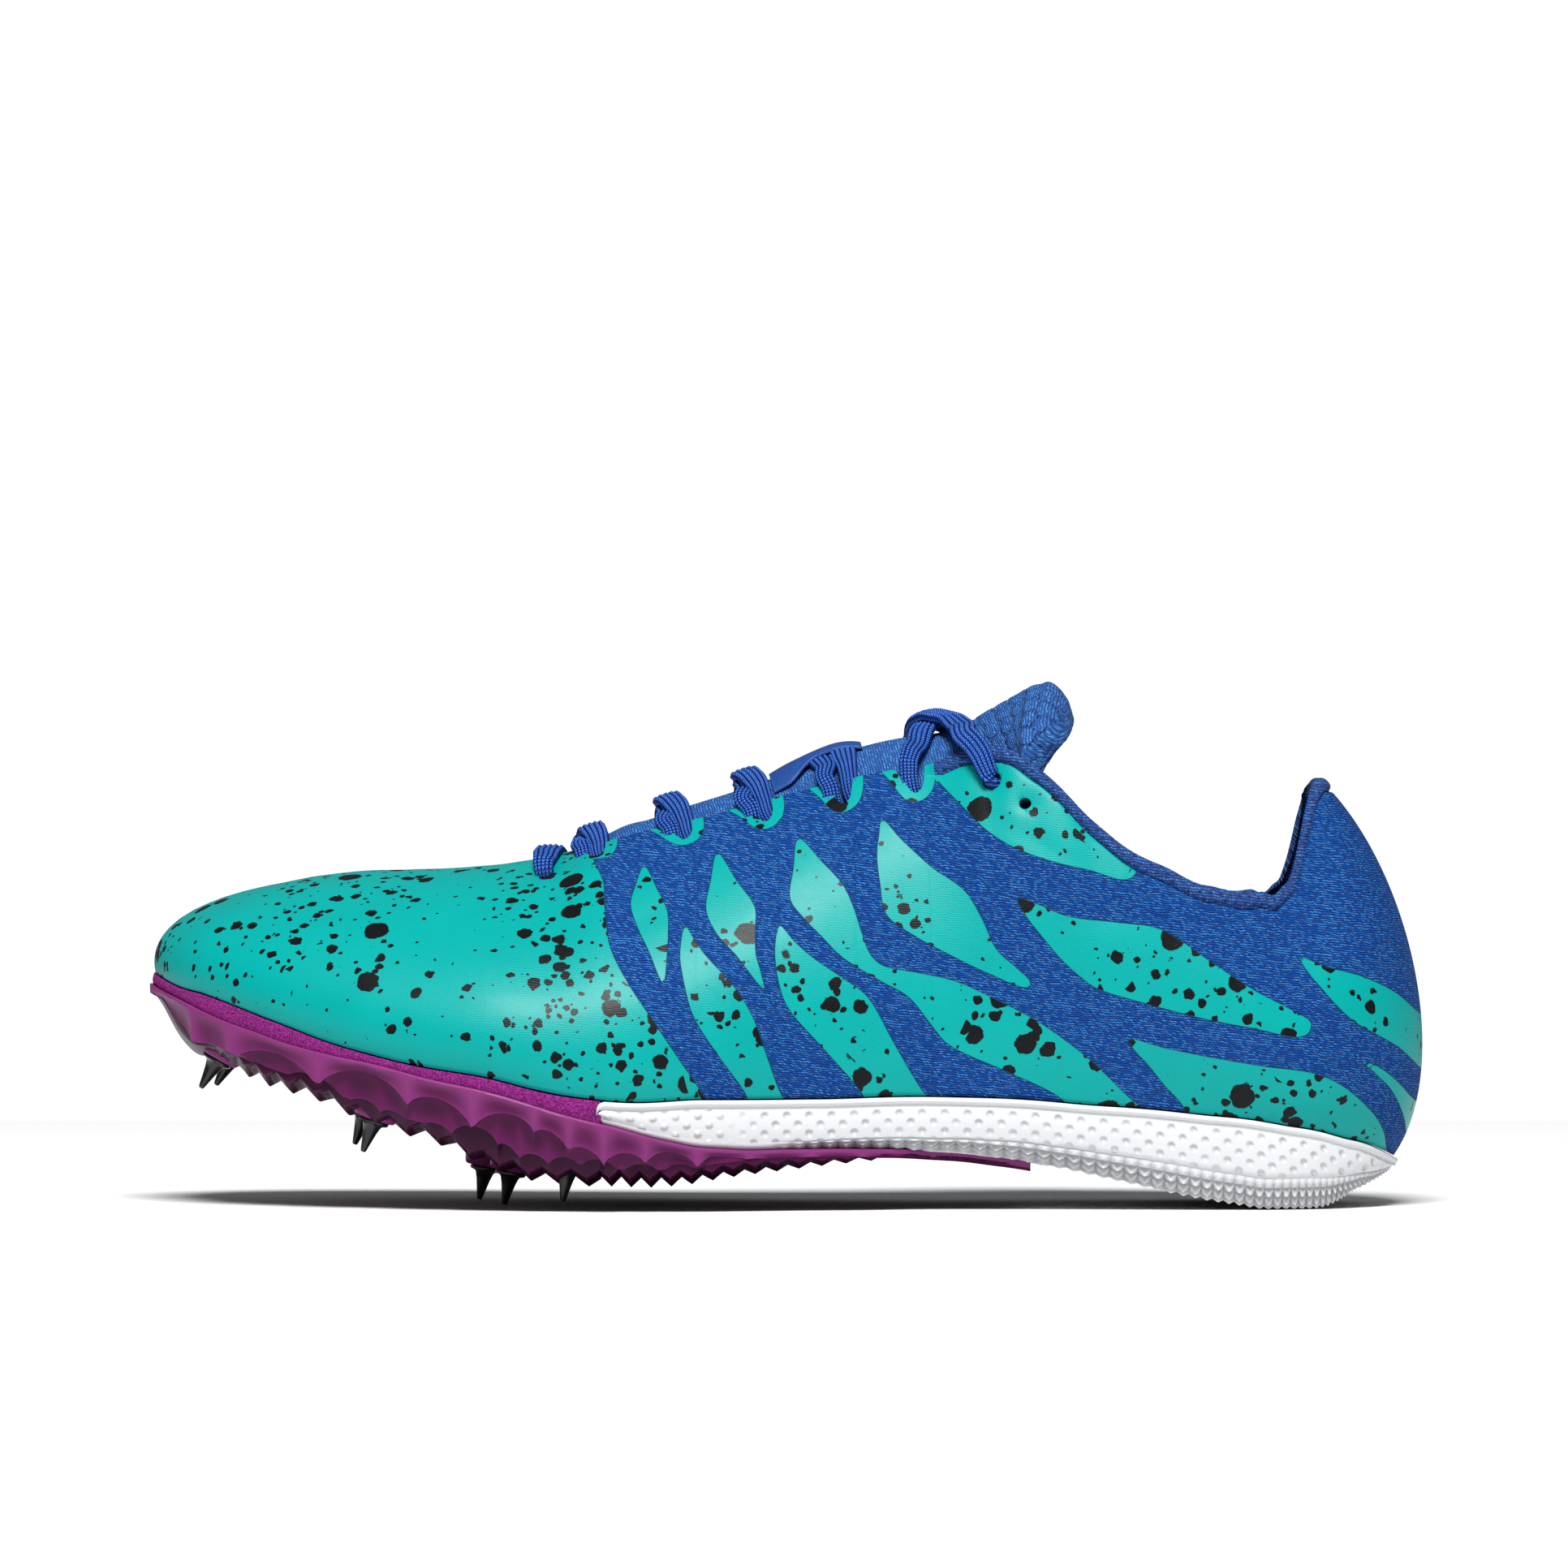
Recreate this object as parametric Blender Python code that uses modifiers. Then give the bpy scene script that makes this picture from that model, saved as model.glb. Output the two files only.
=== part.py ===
"""Track spike shoe for the left foot, in metres, +Z up, toe at -X and inner side at +Y.

The upper is a sheet lofted around the last: each section runs from the edge where the sole starts,
over the belly and the shoulder, to the ridge of the vamp or to the edge of throat and collar. Sole
layers, insole, tongue and laces are worked out from the same section tables.
"""

import math

import bmesh
import bpy
import numpy as np
from mathutils import Matrix, Vector

# Driving sizes
LENGTH = 0.280
BALL_WIDTH = 0.092
INSTEP_HEIGHT = 0.096
WALL = 0.0018
COLLAR_BAND = 0.0036
COLLAR_ROLL = 0.0009
INSOLE_THICKNESS = 0.003
FOOTBED_DISH = 0.003
TONGUE_PADDING = 1.0
LACE_WIDTH = 0.006
LACE_THICKNESS = 0.0018
STRAND_ARCH = 2.6
TOP_ARCH = 4.5
LACE_LANDING = 0.0042
LACE_BOWS = (-0.0022, -0.0042, -0.0046, -0.0046, 0.0)
NOTCH_WIDTH = 0.007
NOTCH_DEPTH = 0.0076
EYELET_RADIUS = 0.0021
BAND_PROUD = 0.0006
BAND_FOOT = 0.0002
PLATE_LIP = 0.0012
PLATE_LIP_DRAFT = 0.0002
PLATE_BELLY = 0.0105
PLATE_LEAST = 0.0012
PLATE_INSET = 0.0069
LUG_HEIGHT = 0.0022
LUG_ROOT = 0.0008
LUG_TIP_RADIUS = 0.0009
LUG_BASE_RADIUS = 0.0024
LUG_PITCH = 0.0055
LUG_INSET = 0.0106
SCALLOP_PITCH = 0.0165
SCALLOP_DEPTH = 0.0016
SCALLOP_FULL_DEPTH = 0.008
WEDGE_LIP_HEIGHT = 0.0013
WEDGE_LIP = 0.0012
WEDGE_LIP_ROUNDING = 0.0004
WEDGE_STEP = 0.0006
WEDGE_WAIST = 0.0008
WEDGE_TREAD_INSET = 0.0040
SPIKE_LENGTH = 0.0064
SPIKE_RADIUS = 0.0022
SPIKE_TIP_RADIUS = 0.0006
FLANGE_RADIUS = 0.0034
FLANGE_THICKNESS = 0.0016
BOSS_RADIUS = 0.0050
BOSS_HEIGHT = 0.0065
GAP = 0.0003

# Where the vamp ends and the throat opens, and where the collar closes at the heel, as shares of the length.
THROAT_START = 0.331
THROAT_ROUNDING = 0.0060
COLLAR_END = 0.918
COLLAR_ROLL_START = 0.6645
COLLAR_ROLL_FULL = 0.6845
COLLAR_ROUNDING = 0.0040

# One row a section, from the toe tip round to the back of the heel. along and top_along are shares of the
# length; outer, inner, belly and shoulder of the ball width; edge and droop of the instep height; rise is a
# share of the section's own height and lean is the slope of the vamp's ridge.
SECTION_COLUMNS = (
    "along", "outer", "inner", "edge", "top_along", "belly", "rise", "shoulder", "droop", "lean"
)
SECTIONS = (
    (0.006, -0.152, 0.152, 0.530, 0.100, 0.022, 0.55, 0.163, 0.000, 0.19),
    (0.018, 0.000, 0.293, 0.512, 0.104, 0.027, 0.55, 0.163, 0.000, 0.19),
    (0.050, 0.152, 0.402, 0.484, 0.118, 0.043, 0.54, 0.172, 0.000, 0.18),
    (0.107, 0.293, 0.473, 0.425, 0.150, 0.065, 0.50, 0.195, 0.000, 0.15),
    (0.186, 0.408, 0.500, 0.351, 0.207, 0.087, 0.45, 0.208, 0.000, 0.05),
    (0.271, 0.484, 0.495, 0.305, 0.279, 0.092, 0.42, 0.205, 0.010, 0.08),
    (0.350, 0.505, 0.440, 0.257, 0.350, 0.087, 0.40, 0.193, 0.042, 0.00),
    (0.436, 0.467, 0.348, 0.255, 0.436, 0.076, 0.39, 0.170, 0.073, 0.00),
    (0.529, 0.402, 0.283, 0.255, 0.529, 0.065, 0.38, 0.141, 0.094, 0.00),
    (0.636, 0.370, 0.283, 0.258, 0.629, 0.060, 0.36, 0.109, 0.115, 0.00),
    (0.736, 0.359, 0.315, 0.240, 0.721, 0.065, 0.35, 0.076, 0.167, 0.00),
    (0.821, 0.348, 0.337, 0.218, 0.807, 0.082, 0.32, 0.065, 0.177, 0.00),
    (0.886, 0.326, 0.321, 0.193, 0.868, 0.103, 0.28, 0.098, 0.188, 0.00),
    (0.932, 0.261, 0.255, 0.163, 0.900, 0.125, 0.25, 0.152, 0.193, 0.00),
    (0.964, 0.147, 0.141, 0.131, 0.914, 0.141, 0.24, 0.201, 0.195, 0.00),
    (0.976, 0.000, 0.000, 0.113, 0.918, 0.148, 0.234, 0.217, 0.196, 0.00),
)
LAST_ROW = len(SECTIONS) - 1

# The ridge of the vamp, then the edge of throat and collar: height as a share of the instep height, gap and
# ridge as shares of the ball width.
TOPLINE_COLUMNS = ("along", "height", "gap", "ridge")
TOPLINE = (
    (0.100, 0.729, 0.000, 0.141),
    (0.150, 0.754, 0.010, 0.125),
    (0.207, 0.763, 0.030, 0.103),
    (0.261, 0.771, 0.052, 0.087),
    (0.294, 0.782, 0.067, 0.076),
    (0.331, 0.804, 0.083, 0.065),
    (0.366, 0.833, 0.093, 0.054),
    (0.438, 0.885, 0.109, 0.033),
    (0.518, 0.948, 0.128, 0.011),
    (0.578, 0.989, 0.141, 0.000),
    (0.618, 1.008, 0.158, 0.000),
    (0.654, 1.040, 0.196, 0.000),
    (0.693, 1.000, 0.255, 0.000),
    (0.738, 0.876, 0.304, 0.000),
    (0.796, 0.769, 0.323, 0.000),
    (0.839, 0.722, 0.313, 0.000),
    (0.868, 0.716, 0.277, 0.000),
    (0.885, 0.727, 0.237, 0.000),
    (0.895, 0.781, 0.201, 0.000),
    (0.904, 0.896, 0.152, 0.000),
    (0.911, 0.958, 0.120, 0.000),
    (0.918, 0.971, 0.098, 0.000),
)

# The line under the forefoot band and the wedge, which ends as the wedge's tread, and the underside of the
# plate, as shares of the instep height.
UNDERSIDE_COLUMNS = ("along", "seam", "plate_low")
UNDERSIDE = (
    (0.000, 0.505, 0.497),
    (0.010, 0.492, 0.460),
    (0.030, 0.468, 0.364),
    (0.054, 0.437, 0.331),
    (0.090, 0.400, 0.275),
    (0.135, 0.360, 0.235),
    (0.185, 0.330, 0.172),
    (0.225, 0.300, 0.142),
    (0.280, 0.265, 0.076),
    (0.335, 0.217, 0.046),
    (0.370, 0.192, 0.043),
    (0.410, 0.160, 0.043),
    (0.455, 0.141, 0.063),
    (0.500, 0.139, 0.080),
    (0.560, 0.139, 0.100),
    (0.615, 0.132, 0.114),
    (0.660, 0.119, 0.104),
    (0.707, 0.096, 0.080),
    (0.748, 0.070, 0.060),
    (0.782, 0.048, 0.040),
    (0.817, 0.026, 0.020),
    (0.852, 0.009, 0.004),
    (0.871, 0.000, 0.000),
    (0.907, 0.000, 0.000),
    (0.934, 0.018, 0.010),
    (0.950, 0.036, 0.020),
    (0.966, 0.058, 0.040),
    (0.981, 0.094, 0.080),
)
BAND_END = 0.3560
PLATE_STEP = (0.3572, 0.3583)
WEDGE_START = 0.3595
WEDGE_END = 0.974
PLATE_END = 0.690
INSOLE_RUN = (0.02, 0.965)
LUG_RUN = (0.075, 0.400)

# Where the plate's side turns in, as shares of its depth, and the part of its half width that lies flat; the
# same for the wedge's waist; the boss's taper and the most of the plate's depth that it fills.
PLATE_TURNS = (0.15, 0.6)
PLATE_FLAT = 0.85
WEDGE_WAIST_DOWN = 0.72
BOSS_TAPER = 0.15
BOSS_FILL = 0.8

# The tongue's crown: shares of length, instep height and ball width; thickness in shares of the instep
# height, angle of its run in degrees.
TONGUE_COLUMNS = ("along", "height", "thickness", "half_width", "drop", "angle")
TONGUE = (
    (0.300, 0.740, 0.020, 0.130, 0.060, 14.0),
    (0.320, 0.752, 0.026, 0.145, 0.080, 22.0),
    (0.333, 0.766, 0.030, 0.150, 0.095, 28.0),
    (0.348, 0.816, 0.034, 0.160, 0.130, 26.0),
    (0.366, 0.850, 0.036, 0.175, 0.165, 20.0),
    (0.395, 0.878, 0.038, 0.185, 0.190, 18.0),
    (0.428, 0.911, 0.040, 0.195, 0.205, 18.0),
    (0.462, 0.942, 0.042, 0.205, 0.220, 18.0),
    (0.510, 0.992, 0.044, 0.215, 0.250, 18.0),
    (0.564, 1.046, 0.050, 0.225, 0.285, 15.0),
    (0.600, 1.068, 0.060, 0.232, 0.310, 14.0),
    (0.636, 1.090, 0.085, 0.232, 0.290, 22.0),
    (0.660, 1.128, 0.110, 0.228, 0.240, 32.0),
    (0.681, 1.162, 0.122, 0.218, 0.190, 34.0),
    (0.700, 1.188, 0.120, 0.192, 0.140, 32.0),
    (0.712, 1.192, 0.100, 0.150, 0.085, 28.0),
    (0.718, 1.176, 0.062, 0.100, 0.040, 24.0),
)

# Lace holes as shares of the length: the vamp's hole, the five notches, the used top hole and the free one.
VAMP_HOLE = 0.3155
NOTCHES = (0.3525, 0.4193, 0.4814, 0.5439, 0.6004)
TOP_HOLE = 0.6590
FREE_HOLE = 0.6845
HOLE_INSET = 0.0055
KEEPER_ALONG = 0.5250
KEEPER_LENGTH = 0.020
KEEPER_WIDTH = 0.010
KEEPER_THICKNESS = 0.0008
KEEPER_ROOM = 0.0031

# Spikes: along in shares of the length, aside in shares of the ball width (inner side positive), drop of the
# tip above the floor in shares of the instep height and forward tilt in degrees.
SPIKE_COLUMNS = ("along", "aside", "tip", "tilt")
SPIKE_ROWS = (
    (0.0440, 0.020, 0.262, 30.0),
    (0.0515, 0.255, 0.262, 30.0),
    (0.1740, -0.215, 0.126, 19.0),
    (0.1650, 0.330, 0.124, 19.0),
    (0.2593, 0.270, 0.000, 11.0),
    (0.2818, -0.030, 0.000, 11.0),
    (0.3293, -0.300, 0.018, 9.0),
)

# Name, colour, roughness and metallic value of each material
FINISHES = {
    "knit_and_film": ((0.03, 0.42, 0.50), 0.55, 0.0),
    "tongue_knit": ((0.02, 0.10, 0.42), 0.75, 0.0),
    "lace_blue": ((0.02, 0.08, 0.50), 0.70, 0.0),
    "insole_cloth": ((0.03, 0.05, 0.20), 0.80, 0.0),
    "felt_magenta": ((0.42, 0.03, 0.30), 0.85, 0.0),
    "plate_purple": ((0.20, 0.02, 0.14), 0.25, 0.0),
    "foam_white": ((0.85, 0.86, 0.87), 0.55, 0.0),
    "spike_black": ((0.01, 0.01, 0.012), 0.35, 0.6),
}


def columns(names, rows):
    """The table's columns by name, as arrays."""
    return {name: np.array([row[i] for row in rows]) for i, name in enumerate(names)}


SECTION = columns(SECTION_COLUMNS, SECTIONS)
TOP = columns(TOPLINE_COLUMNS, TOPLINE)
UNDER = columns(UNDERSIDE_COLUMNS, UNDERSIDE)
CROWN = columns(TONGUE_COLUMNS, TONGUE)
SPIKES = [dict(zip(SPIKE_COLUMNS, row)) for row in SPIKE_ROWS]


def smooth(knots, values, at):
    """A curve through the values: a cubic Hermite whose slopes are parabolas through three neighbours."""
    at = np.clip(at, knots[0], knots[-1])
    steps = np.diff(knots)
    rises = np.diff(values) / steps
    slopes = np.empty(len(values))
    slopes[1:-1] = (rises[:-1] * steps[1:] + rises[1:] * steps[:-1]) / (steps[:-1] + steps[1:])
    slopes[0] = rises[0]
    slopes[-1] = rises[-1]
    i = np.clip(np.searchsorted(knots, at, side="right") - 1, 0, len(knots) - 2)
    f = (at - knots[i]) / steps[i]
    start = values[i] + f * steps[i] * slopes[i]
    end = values[i + 1] - (1 - f) * steps[i] * slopes[i + 1]
    blend = f * f * (3 - 2 * f)
    return start * (1 - blend) + end * blend


def around(outer, inner, row):
    """A closed curve through the outer rows, toe to heel, and back through the inner rows."""
    ring = np.concatenate([outer, inner[-2:0:-1]])
    n = len(ring)
    i = np.floor(row).astype(int)
    f = row - i
    before, start, end, after = (ring[(i + k) % n] for k in (-1, 0, 1, 2))
    return start + 0.5 * f * (
        end - before + f * (2 * before - 5 * start + 4 * end - after + f * (3 * (start - end) + after - before))
    )


def same(name, row):
    """A column that is alike on both sides, at a row anywhere round the loop."""
    return around(SECTION[name], SECTION[name], row)


def x_of(share):
    return (share - 0.5) * LENGTH


def share_of(x):
    return x / LENGTH + 0.5


def edge_height(share):
    return smooth(SECTION["along"], SECTION["edge"], share) * INSTEP_HEIGHT


def edge_point(row):
    """The edge of the upper where the sole starts, at a row round the loop."""
    share = same("along", row)
    y = around(-SECTION["outer"], SECTION["inner"], row) * BALL_WIDTH
    return np.stack([x_of(share), y, edge_height(share)], axis=-1)


def outward(row):
    """The level direction square to the edge, pointing out of the shoe."""
    step = 0.04
    run = edge_point(row + step) - edge_point(row - step)
    length = np.hypot(run[..., 0], run[..., 1])
    return np.stack([run[..., 1] / length, -run[..., 0] / length, 0 * length], axis=-1)


def spread(row):
    """The way that a sole layer grows: outward at toe and heel, and straight across along the sides."""
    way = outward(row)
    way[..., 0] *= np.clip((0.90 - np.abs(way[..., 1])) / 0.25, 0, 1)
    return way


def round_off(distance, radius):
    """0 at the end of an opening, rising as a quarter circle to 1 at the radius."""
    return np.sqrt(1 - (1 - np.clip(distance / radius, 0, 1)) ** 2)


def full_gap(share):
    """Half the width of throat and collar with no rounded ends, carried on into the vamp as its crown."""
    return smooth(TOP["along"], TOP["gap"], share) * BALL_WIDTH


def opening_half(share):
    """Half the width of throat and collar at a place along the shoe."""
    half = full_gap(share) * round_off((share - THROAT_START) * LENGTH, THROAT_ROUNDING)
    return half * round_off((COLLAR_END - share) * LENGTH, COLLAR_ROUNDING)


def ridge_y(share):
    return smooth(TOP["along"], TOP["ridge"], share) * BALL_WIDTH


def top_height(share):
    return smooth(TOP["along"], TOP["height"], share) * INSTEP_HEIGHT


def side_of(row):
    """-1 on the outer side of the foot, +1 on the inner side."""
    return np.where(np.mod(row, 2 * LAST_ROW) <= LAST_ROW, -1.0, 1.0)


def top_point(row):
    """The ridge of the vamp, or the edge of throat or collar, above a row."""
    share = np.clip(same("top_along", row), SECTION["top_along"][0], COLLAR_END)
    y = ridge_y(share) + side_of(row) * opening_half(share)
    return np.stack([x_of(share), y, top_height(share)], axis=-1)


def upper_point(row, t):
    """The outside of the upper: t runs from 0 at the sole to 1 at the top, on a cubic through belly and shoulder."""
    low = edge_point(row)
    top = top_point(row)
    out = outward(row)
    height = top[..., 2:] - low[..., 2:]
    belly = low + out * same("belly", row)[..., None] * BALL_WIDTH
    belly = belly + np.array([0, 0, 1]) * height * same("rise", row)[..., None]
    reach = out * same("shoulder", row)[..., None] * BALL_WIDTH
    share = share_of(top[..., 0])
    crown_width = np.where(share < 0.6, full_gap(share) - opening_half(share), 0)
    shoulder = top + reach + np.array([0, 1, 0]) * (side_of(row) * crown_width)[..., None]
    fall = reach[..., 0] * same("lean", row) - same("droop", row) * INSTEP_HEIGHT
    shoulder = shoulder + np.array([0, 0, 1]) * fall[..., None]
    t = np.asarray(t)[..., None]
    s = 1 - t
    return s**3 * low + 3 * s * s * t * belly + 3 * s * t * t * shoulder + t**3 * top


def row_at(share):
    """The row whose top lies at this place along the shoe."""
    rows = np.linspace(0, LAST_ROW, 1501)
    return float(np.interp(share, same("top_along", rows), rows))


def t_below_top(row, distance):
    """The t that lies this far below the top, along the section."""
    t = np.linspace(1, 0.4, 121)
    points = upper_point(np.full(len(t), row), t)
    run = np.concatenate([[0], np.cumsum(np.linalg.norm(np.diff(points, axis=0), axis=1))])
    return float(np.interp(distance, run, t))


def surface_frame(row, t):
    """A matrix at a point of the upper: X along the shoe, Y up the section, Z out of the surface."""
    here = upper_point(np.array(row), t)
    ahead = upper_point(np.array(row + 0.02), t) - upper_point(np.array(row - 0.02), t)
    above = here - upper_point(np.array(row), t - 0.01)
    up = Vector(above).normalized()
    along = Vector(ahead)
    along = (along - up * along.dot(up)).normalized()
    normal = along.cross(up)
    frame = Matrix((along, up, normal)).transposed().to_4x4()
    frame.translation = Vector(here)
    return frame


def seam_height(x):
    return np.maximum(smooth(UNDER["along"], UNDER["seam"], share_of(x)), 0) * INSTEP_HEIGHT


def plate_low(x):
    return smooth(UNDER["along"], UNDER["plate_low"], share_of(x)) * INSTEP_HEIGHT


def make_material(name):
    colour, roughness, metallic = FINISHES[name]
    material = bpy.data.materials.new(name)
    material.use_nodes = True
    shader = material.node_tree.nodes["Principled BSDF"]
    shader.inputs["Base Color"].default_value = (*colour, 1)
    shader.inputs["Roughness"].default_value = roughness
    shader.inputs["Metallic"].default_value = metallic
    material.diffuse_color = (*colour, 1)
    return material


def add_object(name, mesh, collection, finish=None):
    """A new object with this mesh, linked to the collection."""
    thing = bpy.data.objects.new(name, mesh)
    collection.objects.link(thing)
    if finish:
        mesh.materials.append(bpy.data.materials.get(finish) or make_material(finish))
    return thing


def mesh_of(name, points, faces, flat=False):
    """A mesh whose coincident points are merged and whose faces point out."""
    mesh = bpy.data.meshes.new(name)
    mesh.from_pydata([tuple(p) for p in points], [], faces)
    work = bmesh.new()
    work.from_mesh(mesh)
    bmesh.ops.remove_doubles(work, verts=work.verts, dist=2e-5)
    if not flat:
        bmesh.ops.recalc_face_normals(work, faces=work.faces)
    work.to_mesh(mesh)
    work.free()
    mesh.shade_smooth()
    mesh.set_sharp_from_angle(angle=math.radians(32))
    return mesh


def loft(name, rings):
    """A closed body through rings of equally many points, capped at its first and last ring."""
    count, around_ring = rings.shape[:2]
    faces = []
    for i in range(count - 1):
        for j in range(around_ring):
            k = (j + 1) % around_ring
            a = i * around_ring
            b = a + around_ring
            faces.append((a + j, a + k, b + k, b + j))
    faces.append(tuple(range(around_ring - 1, -1, -1)))
    faces.append(tuple((count - 1) * around_ring + j for j in range(around_ring)))
    return mesh_of(name, rings.reshape(-1, 3), faces)


def combine(body, mesh, operation):
    """Joins a closed mesh to a body, or cuts it out of it."""
    tool = add_object(f"{body.name}_tool_{len(body.modifiers)}", mesh, cutters)
    tool.hide_render = True
    tool.display_type = "WIRE"
    step = body.modifiers.new(tool.name, "BOOLEAN")
    step.operation = operation
    step.solver = "EXACT"
    step.object = tool


def cut(body, mesh, matrix):
    """Cuts a mesh, placed by a matrix, out of a body."""
    mesh.transform(matrix)
    combine(body, mesh, "DIFFERENCE")


def notch_mesh(width, depth, reach):
    """A prism with a round lower end, open past the edge: its outline lies in XY and it is extruded along Z."""
    radius = width / 2
    turns = np.linspace(0, -math.pi, 7)
    outline = [(radius * math.cos(a), radius - depth + radius * math.sin(a)) for a in turns]
    outline = [(radius, depth), *outline, (-radius, depth)]
    n = len(outline)
    points = [(x, y, z) for z in (-reach, reach) for x, y in outline]
    faces = [tuple(range(n - 1, -1, -1)), tuple(range(n, 2 * n))]
    faces += [(j, (j + 1) % n, n + (j + 1) % n, n + j) for j in range(n)]
    return mesh_of("notch", points, faces)


def cone_mesh(name, low_radius, high_radius, height, segments, low_centre):
    """A cone frustum standing on a point, widest where the numbers say."""
    work = bmesh.new()
    bmesh.ops.create_cone(
        work, cap_ends=True, segments=segments, radius1=low_radius, radius2=high_radius, depth=height
    )
    bmesh.ops.translate(work, verts=work.verts, vec=Vector(low_centre) + Vector((0, 0, height / 2)))
    mesh = bpy.data.meshes.new(name)
    work.to_mesh(mesh)
    work.free()
    return mesh


def make_upper(collection):
    """The hollow upper: one sheet round the last, with its wall, lace notches and eyelets."""
    start = row_at(THROAT_START)
    vamp_rows = np.linspace(0, start, 10)
    front_rows = start + np.array([0.05, 0.14, 0.28, 0.5])
    side_rows = np.linspace(front_rows[-1], LAST_ROW, 21)[1:]
    half = np.concatenate([vamp_rows, front_rows, side_rows])
    rows = np.concatenate([half, 2 * LAST_ROW - half[-2:0:-1]])
    levels = np.concatenate([np.linspace(0, 0.88, 7), [1.0, 1.0, 1.0]])
    grid = np.empty((len(rows), len(levels), 3))
    for i, row in enumerate(rows):
        band = t_below_top(row, COLLAR_BAND)
        t = levels * band
        t[-3:] = (band, band + 0.15 * (1 - band), 1.0)
        grid[i] = upper_point(np.full(len(t), row), t)
        share = share_of(top_point(np.array(row))[0])
        ease = np.clip((share - COLLAR_ROLL_START) / (COLLAR_ROLL_FULL - COLLAR_ROLL_START), 0, 1)
        grid[i, -2:] += outward(np.array(row)) * COLLAR_ROLL * ease
    count, deep = grid.shape[:2]
    faces = []
    for i in range(count):
        a = i * deep
        b = ((i + 1) % count) * deep
        faces += [(a + j, b + j, b + j + 1, a + j + 1) for j in range(deep - 1)]
    mesh = mesh_of("upper", grid.reshape(-1, 3), faces, flat=True)
    body = add_object("upper", mesh, collection, "knit_and_film")
    wall = body.modifiers.new("wall", "SOLIDIFY")
    wall.thickness = WALL
    wall.offset = -1
    wall.use_even_offset = True
    wall.use_quality_normals = True
    reach = 3 * WALL
    for place in NOTCHES:
        for row in (row_at(place), 2 * LAST_ROW - row_at(place)):
            cut(body, notch_mesh(NOTCH_WIDTH, NOTCH_DEPTH, reach), surface_frame(row, 1.0))
    for place in (VAMP_HOLE, TOP_HOLE, FREE_HOLE):
        for row in (row_at(place), 2 * LAST_ROW - row_at(place)):
            frame = surface_frame(row, hole_level(place, row))
            hole = cone_mesh("eyelet", EYELET_RADIUS, EYELET_RADIUS, 2 * reach, 12, (0, 0, -reach))
            cut(body, hole, frame)
    return body


def hole_level(place, row):
    """How far up its section a lace hole sits; the vamp's hole keeps off the ridge by the throat's half width."""
    inset = HOLE_INSET + (opening_half(np.array(THROAT_START + 0.03)) if place < THROAT_START else 0)
    return t_below_top(row, inset)


def across(row, grow, v):
    """Points from the outer edge (v = -1) to the inner edge (v = 1), with the edge moved out by grow."""
    row = np.full(np.shape(v), float(row))
    outer = edge_point(row) + spread(row) * grow
    inner = edge_point(2 * LAST_ROW - row) + spread(2 * LAST_ROW - row) * grow
    v = np.asarray(v)[..., None]
    points = outer * (1 - v) / 2 + inner * (1 + v) / 2
    points[..., 2] = edge_height(share_of(points[..., 0]))
    return points


def footbed(points, v, below):
    """Points moved down to the footbed's dish, which flattens out at toe and heel, and below it by a distance."""
    share = share_of(points[:, 0])
    dish = FOOTBED_DISH * np.clip(np.minimum((share - 0.006) / 0.12, (0.976 - share) / 0.10), 0, 1)
    points = points.copy()
    points[:, 2] -= dish * (1 - np.asarray(v) ** 2) + below
    return points


def rows_between(low, high, count):
    """Rows evenly spread between two places along the shoe."""
    rows = np.linspace(0.12, LAST_ROW, 1501)
    shares = same("along", rows)
    ends = np.interp([low, high], shares, rows)
    return np.linspace(ends[0], ends[1], count)


def make_forefoot_band(collection):
    """The felt band between upper and plate, under the forefoot."""
    v = np.linspace(-1, 1, 7)
    rings = []
    for row in rows_between(0.0, BAND_END, 22):
        top = across(row, BAND_PROUD, v)
        low = across(row, BAND_FOOT, v)
        low[:, 2] = seam_height(low[:, 0]) + GAP / 2
        upper_side = footbed(top, v, GAP)
        lower_side = footbed(low, v, 0)
        rings.append(np.concatenate([upper_side, lower_side[::-1]]))
    return add_object("forefoot_band", loft("forefoot_band", np.array(rings)), collection, "felt_magenta")


def make_insole(collection):
    """The insole, which lies on band and wedge inside the upper."""
    v = np.linspace(-1, 1, 7)
    inset = -(WALL + 3 * GAP)
    rings = []
    for row in rows_between(*INSOLE_RUN, 20):
        flat = across(row, inset, v)
        top = footbed(flat, v, -GAP - INSOLE_THICKNESS)
        low = footbed(flat, v, -GAP)
        rings.append(np.concatenate([top, low[::-1]]))
    return add_object("insole", loft("insole", np.array(rings)), collection, "insole_cloth")


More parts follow.
